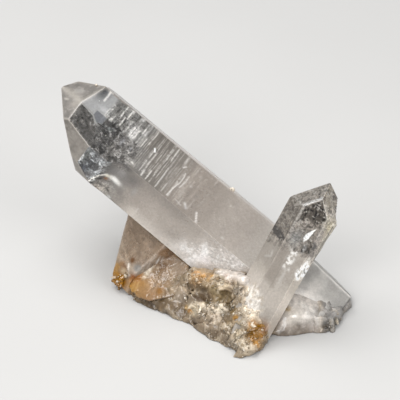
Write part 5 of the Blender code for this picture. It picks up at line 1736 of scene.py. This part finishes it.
# Points: the upper tip, its ring of six, the lower ring, the lower tip.
upper_ring, lower_ring = 1 + np.arange(6), 7 + np.arange(6)
upper_next, lower_next = np.roll(upper_ring, -1), np.roll(lower_ring, -1)
prism_faces = np.concatenate([
    stacked(0, upper_ring, upper_next), stacked(upper_ring, lower_ring, lower_next),
    stacked(upper_ring, lower_next, upper_next), stacked(GRAIN_POINTS - 1, lower_next, lower_ring)])
seats = []
for *zone, count in GRAIN_ZONES:
    weight = near(skin, zone[:3], np.array(zone[3:]) * 1.2)
    for centre, radii in HOLLOWS[:2]:
        weight = weight * (1 - near(skin, centre, radii * 1.1))
    weight = weight / weight.sum()
    seats.append(skin[random.choice(len(skin), size=count, p=weight)])
seats = np.concatenate(seats)
count = len(seats)
axes = np.linalg.qr(random.normal(size=(count, 3, 3)))[0]
radius = 0.25 + 0.45 * random.random((count, 1, 1)) ** 2.0
# One in seven is a little six-sided crystal that stands out from the skin.
one_each = (count, 1, 1)
length = np.where(random.random(one_each) < 0.14,
                  random.uniform(2.0, 3.0, one_each), random.uniform(0.6, 1.3, one_each))
stretch = np.concatenate([np.ones((count, 1, 2)), length], axis=2)
uneven = prism[None] * random.uniform(0.82, 1.12, (count, GRAIN_POINTS, 1)) * stretch * radius
grains = (np.einsum("gij,gvj->gvi", axes, uneven) + seats[:, None, :]).reshape(-1, 3)
grains[:, 2] = np.maximum(grains[:, 2], 0.02)
grain_triangles = (prism_faces[None] + GRAIN_POINTS * np.arange(count)[:, None, None]).reshape(-1, 3)
seat_colour = foot_colours(seats)
own = random.random(count)
seat_colour = seat_colour * (0.80 + 0.40 * random.random(count))[:, None]
seat_colour = np.where((own < 0.14)[:, None], 0.5 * seat_colour + 0.5 * linear("#f0eadf"), seat_colour)
grain_colour = np.clip(np.repeat(seat_colour, GRAIN_POINTS, axis=0), 0, 0.95) * FOOT_LIGHT
grain_clearness = np.repeat(np.where(own < 0.3, 0.3, 0.12), GRAIN_POINTS)
grain_piece = mesh_piece("grains", grains, np.zeros((0, 4), int), grain_triangles, broken_quartz,
                         {"quartz_colour": grain_colour, "clearness": grain_clearness,
                          "mattness": np.full(len(grains), 0.16)})
grain_piece.data.shade_flat()

# %% [markdown]
# A few round knobs grew among the grains, and two nubs sit on the upper right edge of the long crystal.
# Each is a ball squeezed to its own radii and roughened, the palest of them milk-white.

# %% Knobs and nubs
# Each knob: its centre, its radii and its colour.
KNOBS = [
    (13.3, -22.4, 8.7, 1.3, 1.2, 1.4, "#f4eee3"), (13.9, -27.4, 3, 1.2, 1.1, 1.2, "#efe2cc"),
    (-45.8, 46.6, 70.2, 0.55, 0.55, 0.55, "#cfcbc6"), (5.9, 24, 37.2, 1, 1, 1, "#efeae3"),
]
KNOB_GRID = (26, 40)
directions = ball_rays(*KNOB_GRID)
parts, tones, part_quads, part_triangles = [], [], [], []
for *shape, hex_colour in KNOBS:
    centre, radii = np.reshape(shape, (2, 3))
    places = centre + directions * radii
    bumps = 0.16 * mottle(places, 1.6, 601) + 0.08 * mottle(places, 0.7, 603)
    places = centre + directions * radii * (1 + bumps)[:, None]
    quads, triangles = closed_grid_faces(*KNOB_GRID, sum(len(part) for part in parts))
    parts.append(places)
    tones.append(linear(hex_colour) * (1 + 0.10 * mottle(places, 1.1, 605))[:, None] * FOOT_LIGHT)
    part_quads.append(quads)
    part_triangles.append(triangles)
places = np.concatenate(parts)
colour = np.concatenate(tones)
colour = tint(colour, near(places, (5.6, 23.3, 37.9), 0.35), "#3a3530")
mesh_piece("knobs", places, np.concatenate(part_quads), np.concatenate(part_triangles), broken_quartz,
           {"quartz_colour": np.clip(colour, 0, 1),
            "clearness": np.full(len(places), 0.25), "mattness": np.full(len(places), 0.2)})
